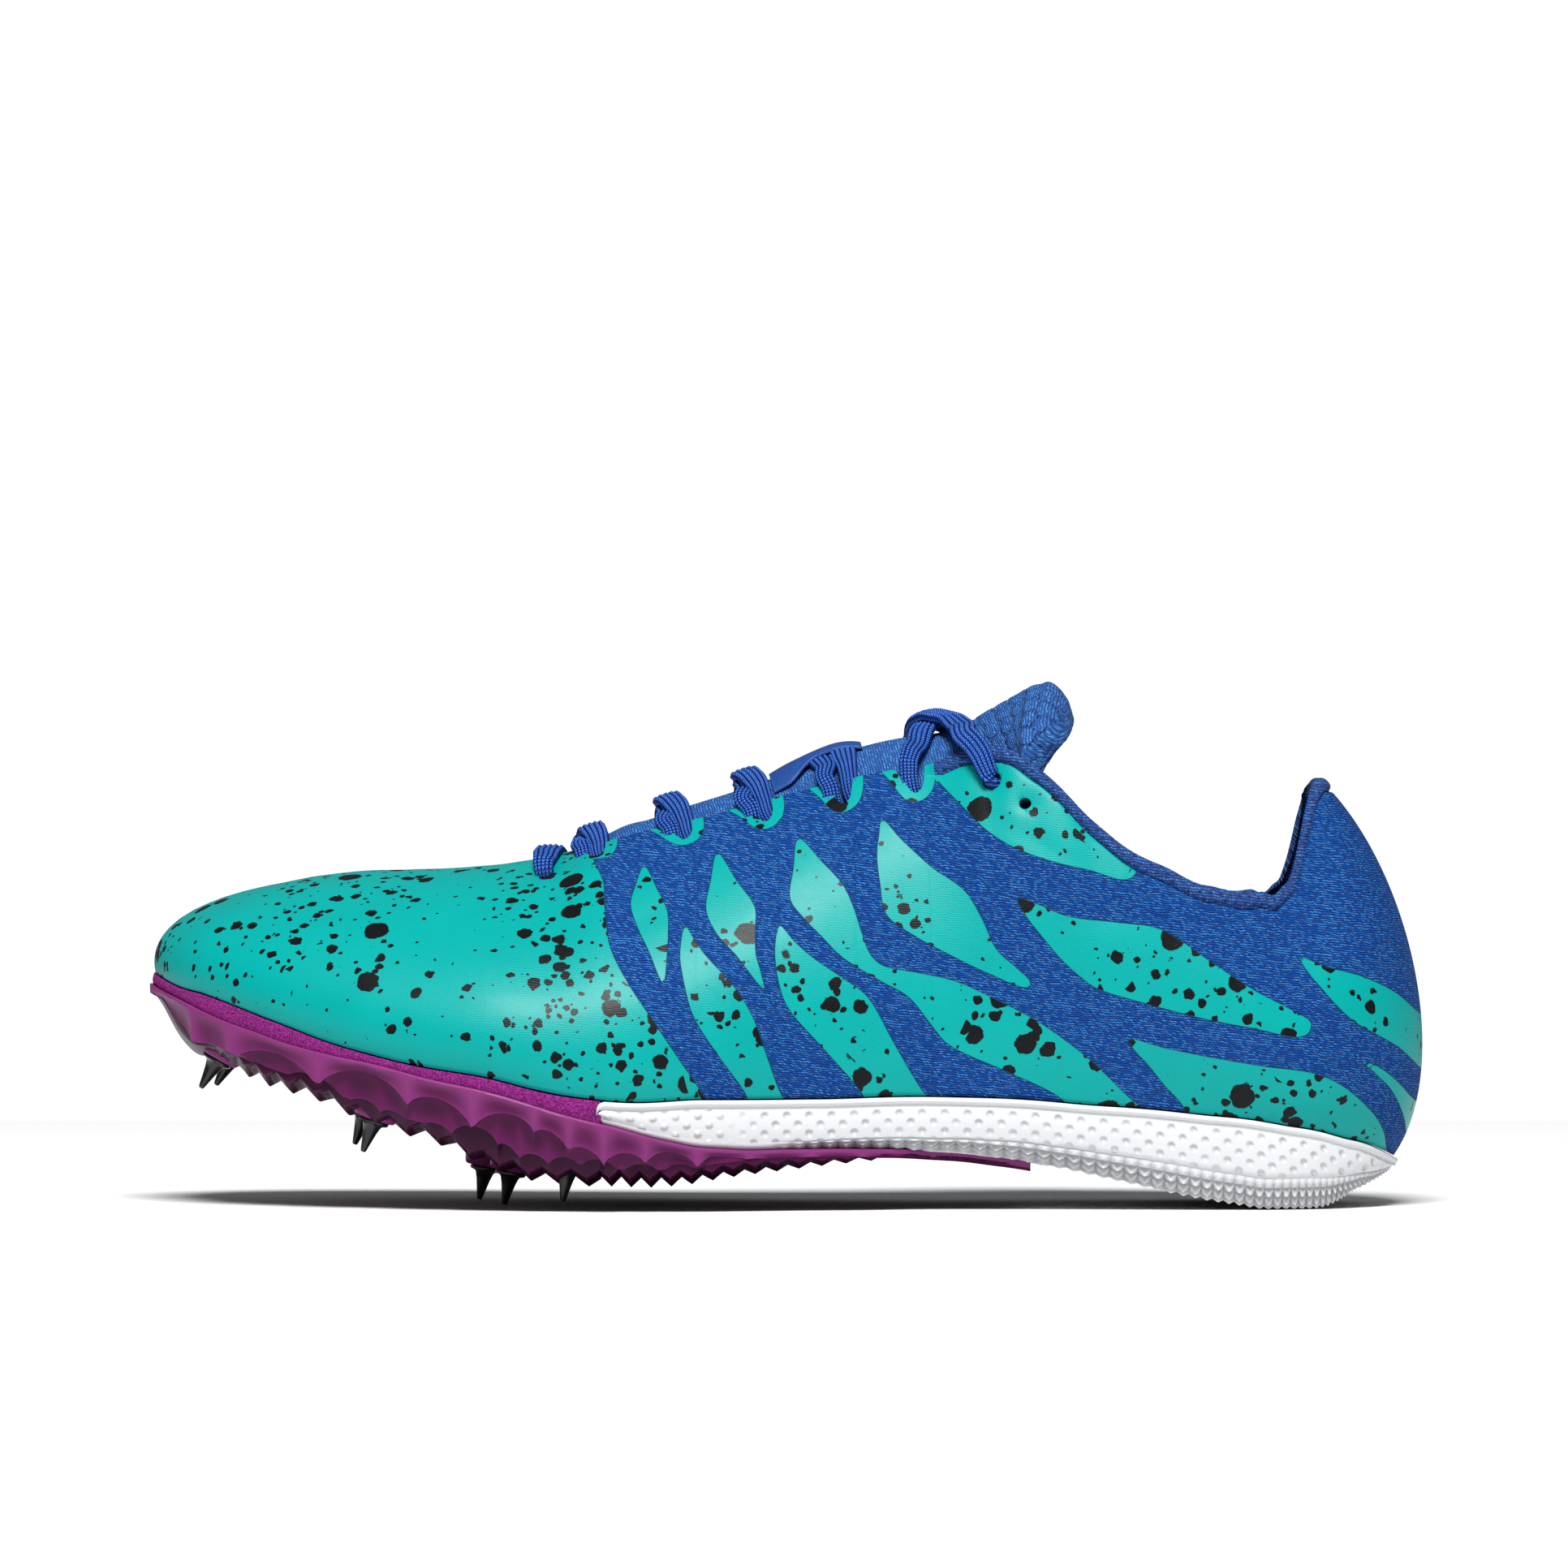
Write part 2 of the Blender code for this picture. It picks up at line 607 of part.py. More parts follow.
def make_wedge(collection):
    """The white heel wedge: a proud lip over a stepped side and a rounded tread with a flat spot."""
    v = np.linspace(-1, 1, 7)
    rings = []
    for row in rows_between(WEDGE_START, WEDGE_END, 30):
        top = footbed(across(row, WEDGE_LIP, v), v, GAP)
        ring = [top]
        floor = seam_height(top[3, 0])
        body = top[0, 2] - floor
        lip = min(WEDGE_LIP_HEIGHT, 0.3 * body)
        levels = (
            (WEDGE_LIP, lip),
            (WEDGE_LIP - WEDGE_STEP, lip + WEDGE_LIP_ROUNDING),
            (-WEDGE_WAIST, WEDGE_WAIST_DOWN * body),
            (-WEDGE_TREAD_INSET, body),
        )
        for grow, down in levels:
            ring.append(lowered(across(row, grow, v[-1:]), top[-1, 2] - down))
        ring.append(lowered(across(row, -WEDGE_TREAD_INSET, np.array([0.5, 0.0, -0.5])), floor))
        for grow, down in levels[::-1]:
            ring.append(lowered(across(row, grow, v[:1]), top[0, 2] - down))
        rings.append(np.concatenate(ring))
    rings = np.array(rings)
    under_plate = share_of(rings[:, 0, 0]) < PLATE_END + 0.012
    low_points = slice(len(v) + 3, len(v) + 8)
    rings[under_plate, low_points, 2] += GAP / 2
    return add_object("heel_wedge", loft("heel_wedge", rings), collection, "foam_white")


def lowered(points, height):
    points = points.copy()
    points[:, 2] = height
    return points


def plate_under(x, v):
    """The plate's underside, lowest along its middle and rising to both edges."""
    low = plate_low(x) + LUG_HEIGHT
    rise = np.minimum(PLATE_BELLY, 0.7 * np.maximum(seam_height(x) - low, 0))
    return np.minimum(low + rise * np.abs(v) ** 1.5, seam_height(x) - FOOTBED_DISH * (1 - v * v) - PLATE_LEAST)


def make_plate(collection):
    """The purple plate: a dished top, a side of hollow scallops between cusps, lugs and spike bosses."""
    v = np.linspace(-1, 1, 7)
    bottom_v = np.array([1.0, 0.6, 0.0, -0.6, -1.0])
    rings = []
    front_rows = rows_between(-0.002, PLATE_STEP[0], 34)
    rear_rows = rows_between(PLATE_STEP[1], PLATE_END, 14)
    for row in np.concatenate([front_rows, rear_rows]):
        edge = across(row, PLATE_LIP, v)
        x = edge[3, 0]
        edge[:, 2] = seam_height(edge[:, 0]) - GAP
        top = footbed(edge, v, 0) if row <= front_rows[-1] else edge
        under = plate_under(x, PLATE_FLAT * bottom_v)
        depth = top[0, 2] - under[0]
        hollow = abs(math.sin(math.pi * x / SCALLOP_PITCH)) * SCALLOP_DEPTH * min(1, depth / SCALLOP_FULL_DEPTH)
        inset = min(PLATE_INSET, 0.8 * depth)
        lip_turn, side_turn = (turn * depth for turn in PLATE_TURNS)
        levels = ((PLATE_LIP - PLATE_LIP_DRAFT, lip_turn), (-0.3 * inset - hollow, side_turn))
        ring = [top]
        for grow, down in levels:
            ring.append(lowered(across(row, grow, v[-1:]), top[-1, 2] - down))
        ring.append(lowered(across(row, -inset, bottom_v), under))
        for grow, down in levels[::-1]:
            ring.append(lowered(across(row, grow, v[:1]), top[0, 2] - down))
        rings.append(np.concatenate(ring))
    body = add_object("spike_plate", loft("spike_plate", np.array(rings)), collection, "plate_purple")
    combine(body, spike_room_mesh(), "DIFFERENCE")
    combine(body, boss_mesh(), "UNION")
    combine(body, lug_mesh(), "UNION")
    return body


def spike_axis(tilt):
    """The direction from base to tip, leaning towards the toe."""
    return Vector((-math.sin(math.radians(tilt)), 0, -math.cos(math.radians(tilt))))


def spike_tip(spike):
    return Vector((x_of(spike["along"]), spike["aside"] * BALL_WIDTH, spike["tip"] * INSTEP_HEIGHT))


def lean_matrix(point, tilt):
    """Stands a shape that points down its own -Z at a point, with its tip leaning towards the toe."""
    return Matrix.Translation(point) @ Matrix.Rotation(math.radians(tilt), 4, "Y")


def merged(name, meshes):
    work = bmesh.new()
    for mesh in meshes:
        work.from_mesh(mesh)
    mesh = bpy.data.meshes.new(name)
    work.to_mesh(mesh)
    work.free()
    return mesh


def spike_room_mesh():
    """A cylinder round each spike and its flange, which the plate keeps out of."""
    rooms = []
    for spike in SPIKES:
        radius = FLANGE_RADIUS + GAP
        height = SPIKE_LENGTH + FLANGE_THICKNESS + GAP
        mesh = cone_mesh("room", radius, radius, height, 12, (0, 0, 0))
        mesh.transform(lean_matrix(spike_tip(spike), spike["tilt"]))
        rooms.append(mesh)
    return merged("spike_rooms", rooms)


def boss_mesh():
    """The cone that each spike screws into, reaching up into the plate."""
    bosses = []
    for spike in SPIKES:
        reach = SPIKE_LENGTH + FLANGE_THICKNESS + 2 * GAP
        base = spike_tip(spike) - spike_axis(spike["tilt"]) * reach
        room = float(seam_height(base.x)) - FOOTBED_DISH - base.z
        radii = (BOSS_RADIUS * (1 - BOSS_TAPER), BOSS_RADIUS * (1 + BOSS_TAPER))
        mesh = cone_mesh("boss", *radii, min(BOSS_HEIGHT, BOSS_FILL * room), 10, (0, 0, 0))
        mesh.transform(lean_matrix(base, spike["tilt"]))
        bosses.append(mesh)
    return merged("bosses", bosses)


def lug_mesh():
    """Two rows of blunt four-sided lugs inside the plate's edge."""
    lugs = []
    start, end = LUG_RUN
    half_width = BALL_WIDTH / 2
    tips = [spike_tip(spike) for spike in SPIKES]
    for i in range(int((end - start) * LENGTH / LUG_PITCH)):
        share = start + i * LUG_PITCH / LENGTH
        row = rows_between(share, share, 1)[0]
        for side in (-1.0, 1.0):
            place = across(row, -LUG_INSET, np.array([side]))[0]
            if min(math.hypot(place[0] - tip.x, place[1] - tip.y) for tip in tips) < 1.5 * BOSS_RADIUS:
                continue
            low = float(plate_under(place[0], 1 - LUG_INSET / half_width)) - LUG_HEIGHT
            size = (LUG_TIP_RADIUS, LUG_BASE_RADIUS, LUG_HEIGHT + LUG_ROOT)
            lugs.append(cone_mesh("lug", *size, 4, (place[0], place[1], low)))
    return merged("lugs", lugs)


def make_spikes(collection):
    """Seven pin spikes, each a flange with a cone whose tip is a small flat."""
    profile = (
        (0, SPIKE_LENGTH + FLANGE_THICKNESS),
        (FLANGE_RADIUS, SPIKE_LENGTH + FLANGE_THICKNESS),
        (FLANGE_RADIUS, SPIKE_LENGTH),
        (SPIKE_RADIUS, SPIKE_LENGTH),
        (SPIKE_TIP_RADIUS, 0),
        (0, 0),
    )
    for i, spike in enumerate(SPIKES):
        mesh = bpy.data.meshes.new("spike")
        edges = [(k, k + 1) for k in range(len(profile) - 1)]
        mesh.from_pydata([(x, 0, z) for x, z in profile], edges, [])
        body = add_object(f"spike_{i + 1}", mesh, collection, "spike_black")
        turn = body.modifiers.new("turn", "SCREW")
        turn.steps = 12
        turn.render_steps = 12
        turn.use_merge_vertices = True
        turn.merge_threshold = 1e-6
        tip = spike_tip(spike)
        tip.z += SPIKE_TIP_RADIUS * math.sin(math.radians(spike["tilt"]))
        body.matrix_world = lean_matrix(tip, spike["tilt"])


def crown(share):
    """Centre point, lean direction, thickness, half width and drop of the tongue at a place along it."""
    angle = math.radians(float(smooth(CROWN["along"], CROWN["angle"], share)))
    centre = np.array([x_of(share), 0.0, float(smooth(CROWN["along"], CROWN["height"], share)) * INSTEP_HEIGHT])
    centre[1] = float(ridge_y(np.array(share)))
    down = np.array([math.sin(angle), 0.0, -math.cos(angle)])
    thick = float(smooth(CROWN["along"], CROWN["thickness"], share)) * INSTEP_HEIGHT * TONGUE_PADDING
    half = float(smooth(CROWN["along"], CROWN["half_width"], share)) * BALL_WIDTH
    drop = float(smooth(CROWN["along"], CROWN["drop"], share)) * INSTEP_HEIGHT
    return centre, down, thick, half, drop


def make_tongue(collection):
    """The padded tongue: an arched strip that follows the instep and ends in a thick round tip."""
    v = np.linspace(-1, 1, 9)
    rings = []
    for share in np.linspace(CROWN["along"][0], CROWN["along"][-1], 24):
        centre, down, thick, half, drop = crown(share)
        top = centre + np.outer(v * half, [0, 1, 0]) + np.outer(v * v * drop, down)
        depth = thick * (0.35 + 0.65 * np.sqrt(np.clip(1 - v**4, 0, 1)))
        low = top + np.outer(depth, down)
        rings.append(np.concatenate([top, low[::-1]]))
    return add_object("tongue", loft("tongue", np.array(rings)), collection, "tongue_knit")


def tongue_height(x):
    return float(smooth(CROWN["along"], CROWN["height"], share_of(x))) * INSTEP_HEIGHT


def ridge_height(x):
    return float(top_height(share_of(x)))


def lace_end(place, side):
    """Where a strand meets the upper: above the foot of its notch or above its hole."""
    row = row_at(place) if side < 0 else 2 * LAST_ROW - row_at(place)
    level = t_below_top(row, NOTCH_DEPTH * 0.75) if place in NOTCHES else hole_level(place, row)
    frame = surface_frame(row, level)
    return np.array(frame.translation + frame.col[2].to_3d() * (LACE_THICKNESS / 2 + COLLAR_ROLL + GAP))


def landing(place, side):
    """Where a strand meets the edge of the eyestay behind its notch, on top of the edge."""
    share = place + LACE_LANDING / LENGTH
    row = row_at(share) if side < 0 else 2 * LAST_ROW - row_at(share)
    return top_point(np.array(row)) + np.array([0, side * LACE_THICKNESS, LACE_THICKNESS / 2 + GAP])


def strand_mesh(start, end, height_at, arch=STRAND_ARCH, bow=0.0):
    """A flat strand over the throat, in an arch that clears what is under its middle by a gap and tilts with it."""
    count = 11
    middle = (start + end) / 2
    place = middle[0] + bow
    slope = (height_at(place + LACE_WIDTH / 2) - height_at(place - LACE_WIDTH / 2)) / LACE_WIDTH
    f = np.linspace(0, 1, count)
    line = start[None] * (1 - f[:, None]) + end[None] * f[:, None]
    top = height_at(place) + (LACE_THICKNESS / 2 + 3 * GAP) * math.hypot(1, slope)
    line[:, 2] += (1 - np.abs(2 * f - 1) ** arch) * (top - middle[2])
    line[:, 0] += (1 - (2 * f - 1) ** 2) * bow
    run = np.gradient(line, axis=0)
    run /= np.linalg.norm(run, axis=1)[:, None]
    flat = np.cross([-slope, 0, 1.0], run)
    flat /= np.linalg.norm(flat, axis=1)[:, None]
    normal = np.cross(run, flat)
    corners = ((-1, 0), (-0.75, -1), (0.75, -1), (1, 0), (0.75, 1), (-0.75, 1))
    rings = [
        line + flat * (a * LACE_WIDTH / 2) + normal * (b * LACE_THICKNESS / 2) for a, b in corners
    ]
    return loft("strand", np.stack(rings, axis=1))


def make_laces(collection):
    """The bar over the vamp, and over each pair of notches two strands that cross on the tongue."""
    bar = strand_mesh(lace_end(VAMP_HOLE, -1), lace_end(VAMP_HOLE, 1), ridge_height)
    add_object("lace_bar", bar, collection, "lace_blue")
    for i, (place, bow) in enumerate(zip(NOTCHES, LACE_BOWS)):
        last = place == NOTCHES[-1]
        strands = []
        for side in (-1, 1):
            start = lace_end(place, side)
            end = lace_end(TOP_HOLE, -side) if last else landing(place, -side)
            arch = TOP_ARCH if last else STRAND_ARCH
            strands.append(strand_mesh(start, end, tongue_height, arch, bow))
        body = add_object(f"lace_crossing_{i + 1}", strands[0], collection, "lace_blue")
        combine(body, strands[1], "UNION")


def make_keeper(collection):
    """The strap on the tongue that the third crossing runs under, sewn down at its two ends."""
    lift = LACE_THICKNESS + KEEPER_ROOM
    v = np.linspace(-1, 1, 5)
    rings = []
    for u in np.linspace(-1, 1, 11):
        share = KEEPER_ALONG + u * KEEPER_LENGTH / 2 / LENGTH
        centre, down, _, half, drop = crown(share)
        rise = GAP + lift * (1 - u**4)
        y = v * KEEPER_WIDTH / 2
        low = centre + np.outer(y, [0, 1, 0]) + np.outer((y / half) ** 2 * drop - rise, down)
        top = low - np.outer(np.full(len(v), KEEPER_THICKNESS), down)
        rings.append(np.concatenate([low, top[::-1]]))
    return add_object("lace_keeper", loft("lace_keeper", np.array(rings)), collection, "lace_blue")


for old in list(bpy.data.objects):
    bpy.data.objects.remove(old)
shoe = bpy.data.collections.new("track_spike_shoe")
cutters = bpy.data.collections.new("cutters")
for group in (shoe, cutters):
    bpy.context.scene.collection.children.link(group)
make_upper(shoe)
make_tongue(shoe)
make_insole(shoe)
make_forefoot_band(shoe)
make_plate(shoe)
make_wedge(shoe)
make_spikes(shoe)
make_laces(shoe)
make_keeper(shoe)
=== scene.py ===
"""A track spike shoe for the left foot, dressed for a studio view of its outer side.

Everything is in metres, +Z up, with the toe at -X and the inner side of the foot at +Y.
"""

import math

import bmesh
import bpy
import numpy as np
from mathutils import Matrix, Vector


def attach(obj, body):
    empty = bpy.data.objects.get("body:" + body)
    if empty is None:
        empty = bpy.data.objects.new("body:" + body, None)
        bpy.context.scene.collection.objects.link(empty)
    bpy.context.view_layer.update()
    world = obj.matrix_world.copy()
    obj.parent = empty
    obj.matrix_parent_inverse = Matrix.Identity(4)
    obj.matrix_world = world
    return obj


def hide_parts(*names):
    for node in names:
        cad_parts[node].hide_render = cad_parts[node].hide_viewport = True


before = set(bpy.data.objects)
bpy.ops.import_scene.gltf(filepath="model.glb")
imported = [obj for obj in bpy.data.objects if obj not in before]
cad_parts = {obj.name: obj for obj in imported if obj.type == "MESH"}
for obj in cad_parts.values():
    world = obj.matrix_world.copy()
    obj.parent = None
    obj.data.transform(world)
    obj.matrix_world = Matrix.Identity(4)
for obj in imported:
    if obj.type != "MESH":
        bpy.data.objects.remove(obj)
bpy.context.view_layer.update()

# Upper
# A hollow knit upper, lofted round the last, with a printed film fused on at toe, sides and heel. It is cut
# with five lace notches and three eyelets a side, and its collar is rolled over into a narrow lining band.
LENGTH = 0.280
BALL_WIDTH = 0.092
INSTEP_HEIGHT = 0.096
WALL = 0.0018
THROAT_START = 0.331
THROAT_ROUNDING = 0.0060
COLLAR_END = 0.918
COLLAR_ROUNDING = 0.0040
# One row a section, from the toe tip round to the back of the heel, in shares of length, ball width and
# instep height.
SECTION_COLUMNS = (
    "along", "outer", "inner", "edge", "top_along", "belly", "rise", "shoulder", "droop", "lean"
)
SECTION_ROWS = np.array([
    (0.006, -0.152, 0.152, 0.530, 0.100, 0.022, 0.55, 0.163, 0.000, 0.19),
    (0.018, 0.000, 0.293, 0.512, 0.104, 0.027, 0.55, 0.163, 0.000, 0.19),
    (0.050, 0.152, 0.402, 0.484, 0.118, 0.043, 0.54, 0.172, 0.000, 0.18),
    (0.107, 0.293, 0.473, 0.425, 0.150, 0.065, 0.50, 0.195, 0.000, 0.15),
    (0.186, 0.408, 0.500, 0.351, 0.207, 0.087, 0.45, 0.208, 0.000, 0.05),
    (0.271, 0.484, 0.495, 0.305, 0.279, 0.092, 0.42, 0.205, 0.010, 0.08),
    (0.350, 0.505, 0.440, 0.257, 0.350, 0.087, 0.40, 0.193, 0.042, 0.00),
    (0.436, 0.467, 0.348, 0.255, 0.436, 0.076, 0.39, 0.170, 0.073, 0.00),
    (0.529, 0.402, 0.283, 0.255, 0.529, 0.065, 0.38, 0.141, 0.094, 0.00),
    (0.636, 0.370, 0.283, 0.258, 0.629, 0.060, 0.36, 0.109, 0.115, 0.00),
    (0.736, 0.359, 0.315, 0.240, 0.721, 0.065, 0.35, 0.076, 0.167, 0.00),
    (0.821, 0.348, 0.337, 0.218, 0.807, 0.082, 0.32, 0.065, 0.177, 0.00),
    (0.886, 0.326, 0.321, 0.193, 0.868, 0.103, 0.28, 0.098, 0.188, 0.00),
    (0.932, 0.261, 0.255, 0.163, 0.900, 0.125, 0.25, 0.152, 0.193, 0.00),
    (0.964, 0.147, 0.141, 0.131, 0.914, 0.141, 0.24, 0.201, 0.195, 0.00),
    (0.976, 0.000, 0.000, 0.113, 0.918, 0.148, 0.234, 0.217, 0.196, 0.00),
])
SECTION = dict(zip(SECTION_COLUMNS, SECTION_ROWS.T))
LAST_ROW = len(SECTION_ROWS) - 1
# The ridge of the vamp, then the edge of throat and collar.
TOP = dict(zip(("along", "height", "gap", "ridge"), np.array([
    (0.100, 0.729, 0.000, 0.141),
    (0.150, 0.754, 0.010, 0.125),
    (0.207, 0.763, 0.030, 0.103),
    (0.261, 0.771, 0.052, 0.087),
    (0.294, 0.782, 0.067, 0.076),
    (0.331, 0.804, 0.083, 0.065),
    (0.366, 0.833, 0.093, 0.054),
    (0.438, 0.885, 0.109, 0.033),
    (0.518, 0.948, 0.128, 0.011),
    (0.578, 0.989, 0.141, 0.000),
    (0.618, 1.008, 0.158, 0.000),
    (0.654, 1.040, 0.196, 0.000),
    (0.693, 1.000, 0.255, 0.000),
    (0.738, 0.876, 0.304, 0.000),
    (0.796, 0.769, 0.323, 0.000),
    (0.839, 0.722, 0.313, 0.000),
    (0.868, 0.716, 0.277, 0.000),
    (0.885, 0.727, 0.237, 0.000),
    (0.895, 0.781, 0.201, 0.000),
    (0.904, 0.896, 0.152, 0.000),
    (0.911, 0.958, 0.120, 0.000),
    (0.918, 0.971, 0.098, 0.000),
]).T))
NOTCHES = (0.3525, 0.4193, 0.4814, 0.5439, 0.6004)
# A notch's cut edge: offset along the shoe and depth below the top edge, in millimetres.
NOTCH_EDGE = np.array([
    (-4.3, 0.0), (-3.3, 1.8), (-2.3, 3.9), (-1.5, 5.6), (-0.8, 6.8), (0.0, 7.4), (0.8, 7.1), (1.5, 6.1),
    (1.95, 4.6), (2.2, 2.6), (2.35, 0.8), (2.4, 0.0),
]) / 1000
VAMP_HOLE = 0.3155
TOP_HOLE = 0.6590
FREE_HOLE = 0.6845
VAMP_INSET = 0.0135
TOP_INSET = 0.0080
FREE_INSET = 0.0108
BAND_START = 0.611
BAND_HEIGHT = 0.0034
BAND_ROLL = 0.0009
RIM_RADIUS = 0.00035
GAP = 0.0003
# The grid's level, counted up from the sole, that the knit's rows are measured along.
KNIT_LEVEL = 30
# Pin holes in the lining: their spacing along a row and from row to row.
PIN_HOLE_PITCH = 0.0024
PIN_HOLE_ROW = 0.0016
# Each knit's colours between the stitches, on them, and on the brightest.
KNIT_COLOURS = ((0.001, 0.012, 0.11), (0.005, 0.062, 0.29), (0.065, 0.29, 0.62))
LINING_COLOURS = ((0.002, 0.014, 0.10), (0.006, 0.058, 0.28), (0.05, 0.24, 0.60))
FILM_TEALS = ((0.0, 0.300, 0.280), (0.0, 0.350, 0.325))
INK = (0.004, 0.005, 0.006)


def smooth(knots, values, at):
    """A cubic Hermite curve through the values, with the slopes of parabolas through three neighbours."""
    at = np.clip(at, knots[0], knots[-1])
    steps = np.diff(knots)
    rises = np.diff(values) / steps
    slopes = np.empty(len(values))
    slopes[1:-1] = (rises[:-1] * steps[1:] + rises[1:] * steps[:-1]) / (steps[:-1] + steps[1:])
    slopes[0] = rises[0]
    slopes[-1] = rises[-1]
    i = np.clip(np.searchsorted(knots, at, side="right") - 1, 0, len(knots) - 2)
    f = (at - knots[i]) / steps[i]
    start = values[i] + f * steps[i] * slopes[i]
    end = values[i + 1] - (1 - f) * steps[i] * slopes[i + 1]
    blend = f * f * (3 - 2 * f)
    return start * (1 - blend) + end * blend


def around(outer, inner, row):
    """A closed Catmull-Rom curve through the outer rows, toe to heel, and back through the inner rows."""
    ring = np.concatenate([outer, inner[-2:0:-1]])
    n = len(ring)
    i = np.floor(row).astype(int)
    f = row - i
    before, start, end, after = (ring[(i + k) % n] for k in (-1, 0, 1, 2))
    cubic = 3 * (start - end) + after - before
    return start + 0.5 * f * (end - before + f * (2 * before - 5 * start + 4 * end - after + f * cubic))


def same(name, row):
    """A section value that outer and inner side share, at a row round the loop."""
    return around(SECTION[name], SECTION[name], row)


def x_of(share):
    """The x of a place that is given as a share of the length."""
    return (share - 0.5) * LENGTH


def share_of(x):
    """The place along the shoe, as a share of the length."""
    return x / LENGTH + 0.5


def edge_height(share):
    """The height of the upper's lower edge."""
    return smooth(SECTION["along"], SECTION["edge"], share) * INSTEP_HEIGHT


def edge_point(row):
    """The lower edge of the upper at a row round the loop, where the sole starts."""
    share = same("along", row)
    y = around(-SECTION["outer"], SECTION["inner"], row) * BALL_WIDTH
    return np.stack([x_of(share), y, edge_height(share)], axis=-1)


def outward(row):
    """The level direction square to the edge, pointing out of the shoe."""
    run = edge_point(row + 0.04) - edge_point(row - 0.04)
    length = np.hypot(run[..., 0], run[..., 1])
    return np.stack([run[..., 1] / length, -run[..., 0] / length, 0 * length], axis=-1)


def round_off(distance, radius):
    """A quarter circle that rises from 0 at an opening's end to 1 at the radius."""
    return np.sqrt(1 - (1 - np.clip(distance / radius, 0, 1)) ** 2)


def full_gap(share):
    """Half the width between the top edges, before the ends of the opening are rounded."""
    return smooth(TOP["along"], TOP["gap"], share) * BALL_WIDTH


def opening_half(share):
    """Half the width of throat and collar, 0 outside them."""
    half = full_gap(share) * round_off((share - THROAT_START) * LENGTH, THROAT_ROUNDING)
    return half * round_off((COLLAR_END - share) * LENGTH, COLLAR_ROUNDING)


def ridge_y(share):
    """How far aside the middle line of the vamp and opening lies."""
    return smooth(TOP["along"], TOP["ridge"], share) * BALL_WIDTH


def top_height(share):
    """The height of the ridge, or of the edge of throat and collar."""
    return smooth(TOP["along"], TOP["height"], share) * INSTEP_HEIGHT


def side_of(row):
    """Outer side -1, inner side 1."""
    return np.where(np.mod(row, 2 * LAST_ROW) <= LAST_ROW, -1.0, 1.0)


def top_point(row):
    """The ridge of the vamp, or the edge of throat or collar, above a row."""
    share = np.clip(same("top_along", row), SECTION["top_along"][0], COLLAR_END)
    y = ridge_y(share) + side_of(row) * opening_half(share)
    return np.stack([x_of(share), y, top_height(share)], axis=-1)


def upper_point(row, t):
    """The upper's outside: a cubic Bezier from the sole (t = 0) by belly and shoulder to the top (t = 1)."""
    low = edge_point(row)
    top = top_point(row)
    out = outward(row)
    height = top[..., 2:] - low[..., 2:]
    belly = low + out * same("belly", row)[..., None] * BALL_WIDTH
    belly = belly + np.array([0, 0, 1]) * height * same("rise", row)[..., None]
    reach = out * same("shoulder", row)[..., None] * BALL_WIDTH
    share = share_of(top[..., 0])
    crown_width = np.where(share < 0.6, full_gap(share) - opening_half(share), 0)
    shoulder = top + reach + np.array([0, 1, 0]) * (side_of(row) * crown_width)[..., None]
    fall = reach[..., 0] * same("lean", row) - same("droop", row) * INSTEP_HEIGHT
    shoulder = shoulder + np.array([0, 0, 1]) * fall[..., None]
    t = np.asarray(t)[..., None]
    s = 1 - t
    return s**3 * low + 3 * s * s * t * belly + 3 * s * t * t * shoulder + t**3 * top


def row_at(share):
    """The row of the outer side whose top lies at this place along the shoe."""
    rows = np.linspace(0, LAST_ROW, 3001)
    return float(np.interp(share, same("top_along", rows), rows))


def run_along(points):
    """The distance from the first of a line of points to each of them."""
    return np.concatenate([[0], np.cumsum(np.linalg.norm(np.diff(points, axis=0), axis=1))])


def t_below_top(row, distance):
    """The t that lies this far below the top along the section."""
    t = np.linspace(1, 0.3, 201)
    points = upper_point(np.full(len(t), row), t)
    return float(np.interp(distance, run_along(points), t))


def on_upper(share, side, below, out=0.0):
    """A point this far below the top edge on one side, moved out of the surface by a distance."""
    row = row_at(share) if side < 0 else 2 * LAST_ROW - row_at(share)
    t = t_below_top(row, max(below, 0.0))
    here = upper_point(np.array(row), t)
    along = upper_point(np.array(row + 0.02), t) - upper_point(np.array(row - 0.02), t)
    up = here - upper_point(np.array(row), t - 0.01)
    normal = np.cross(along, up)
    normal /= np.linalg.norm(normal)
    up /= np.linalg.norm(up)
    return here + normal * out + up * max(-below, 0.0)


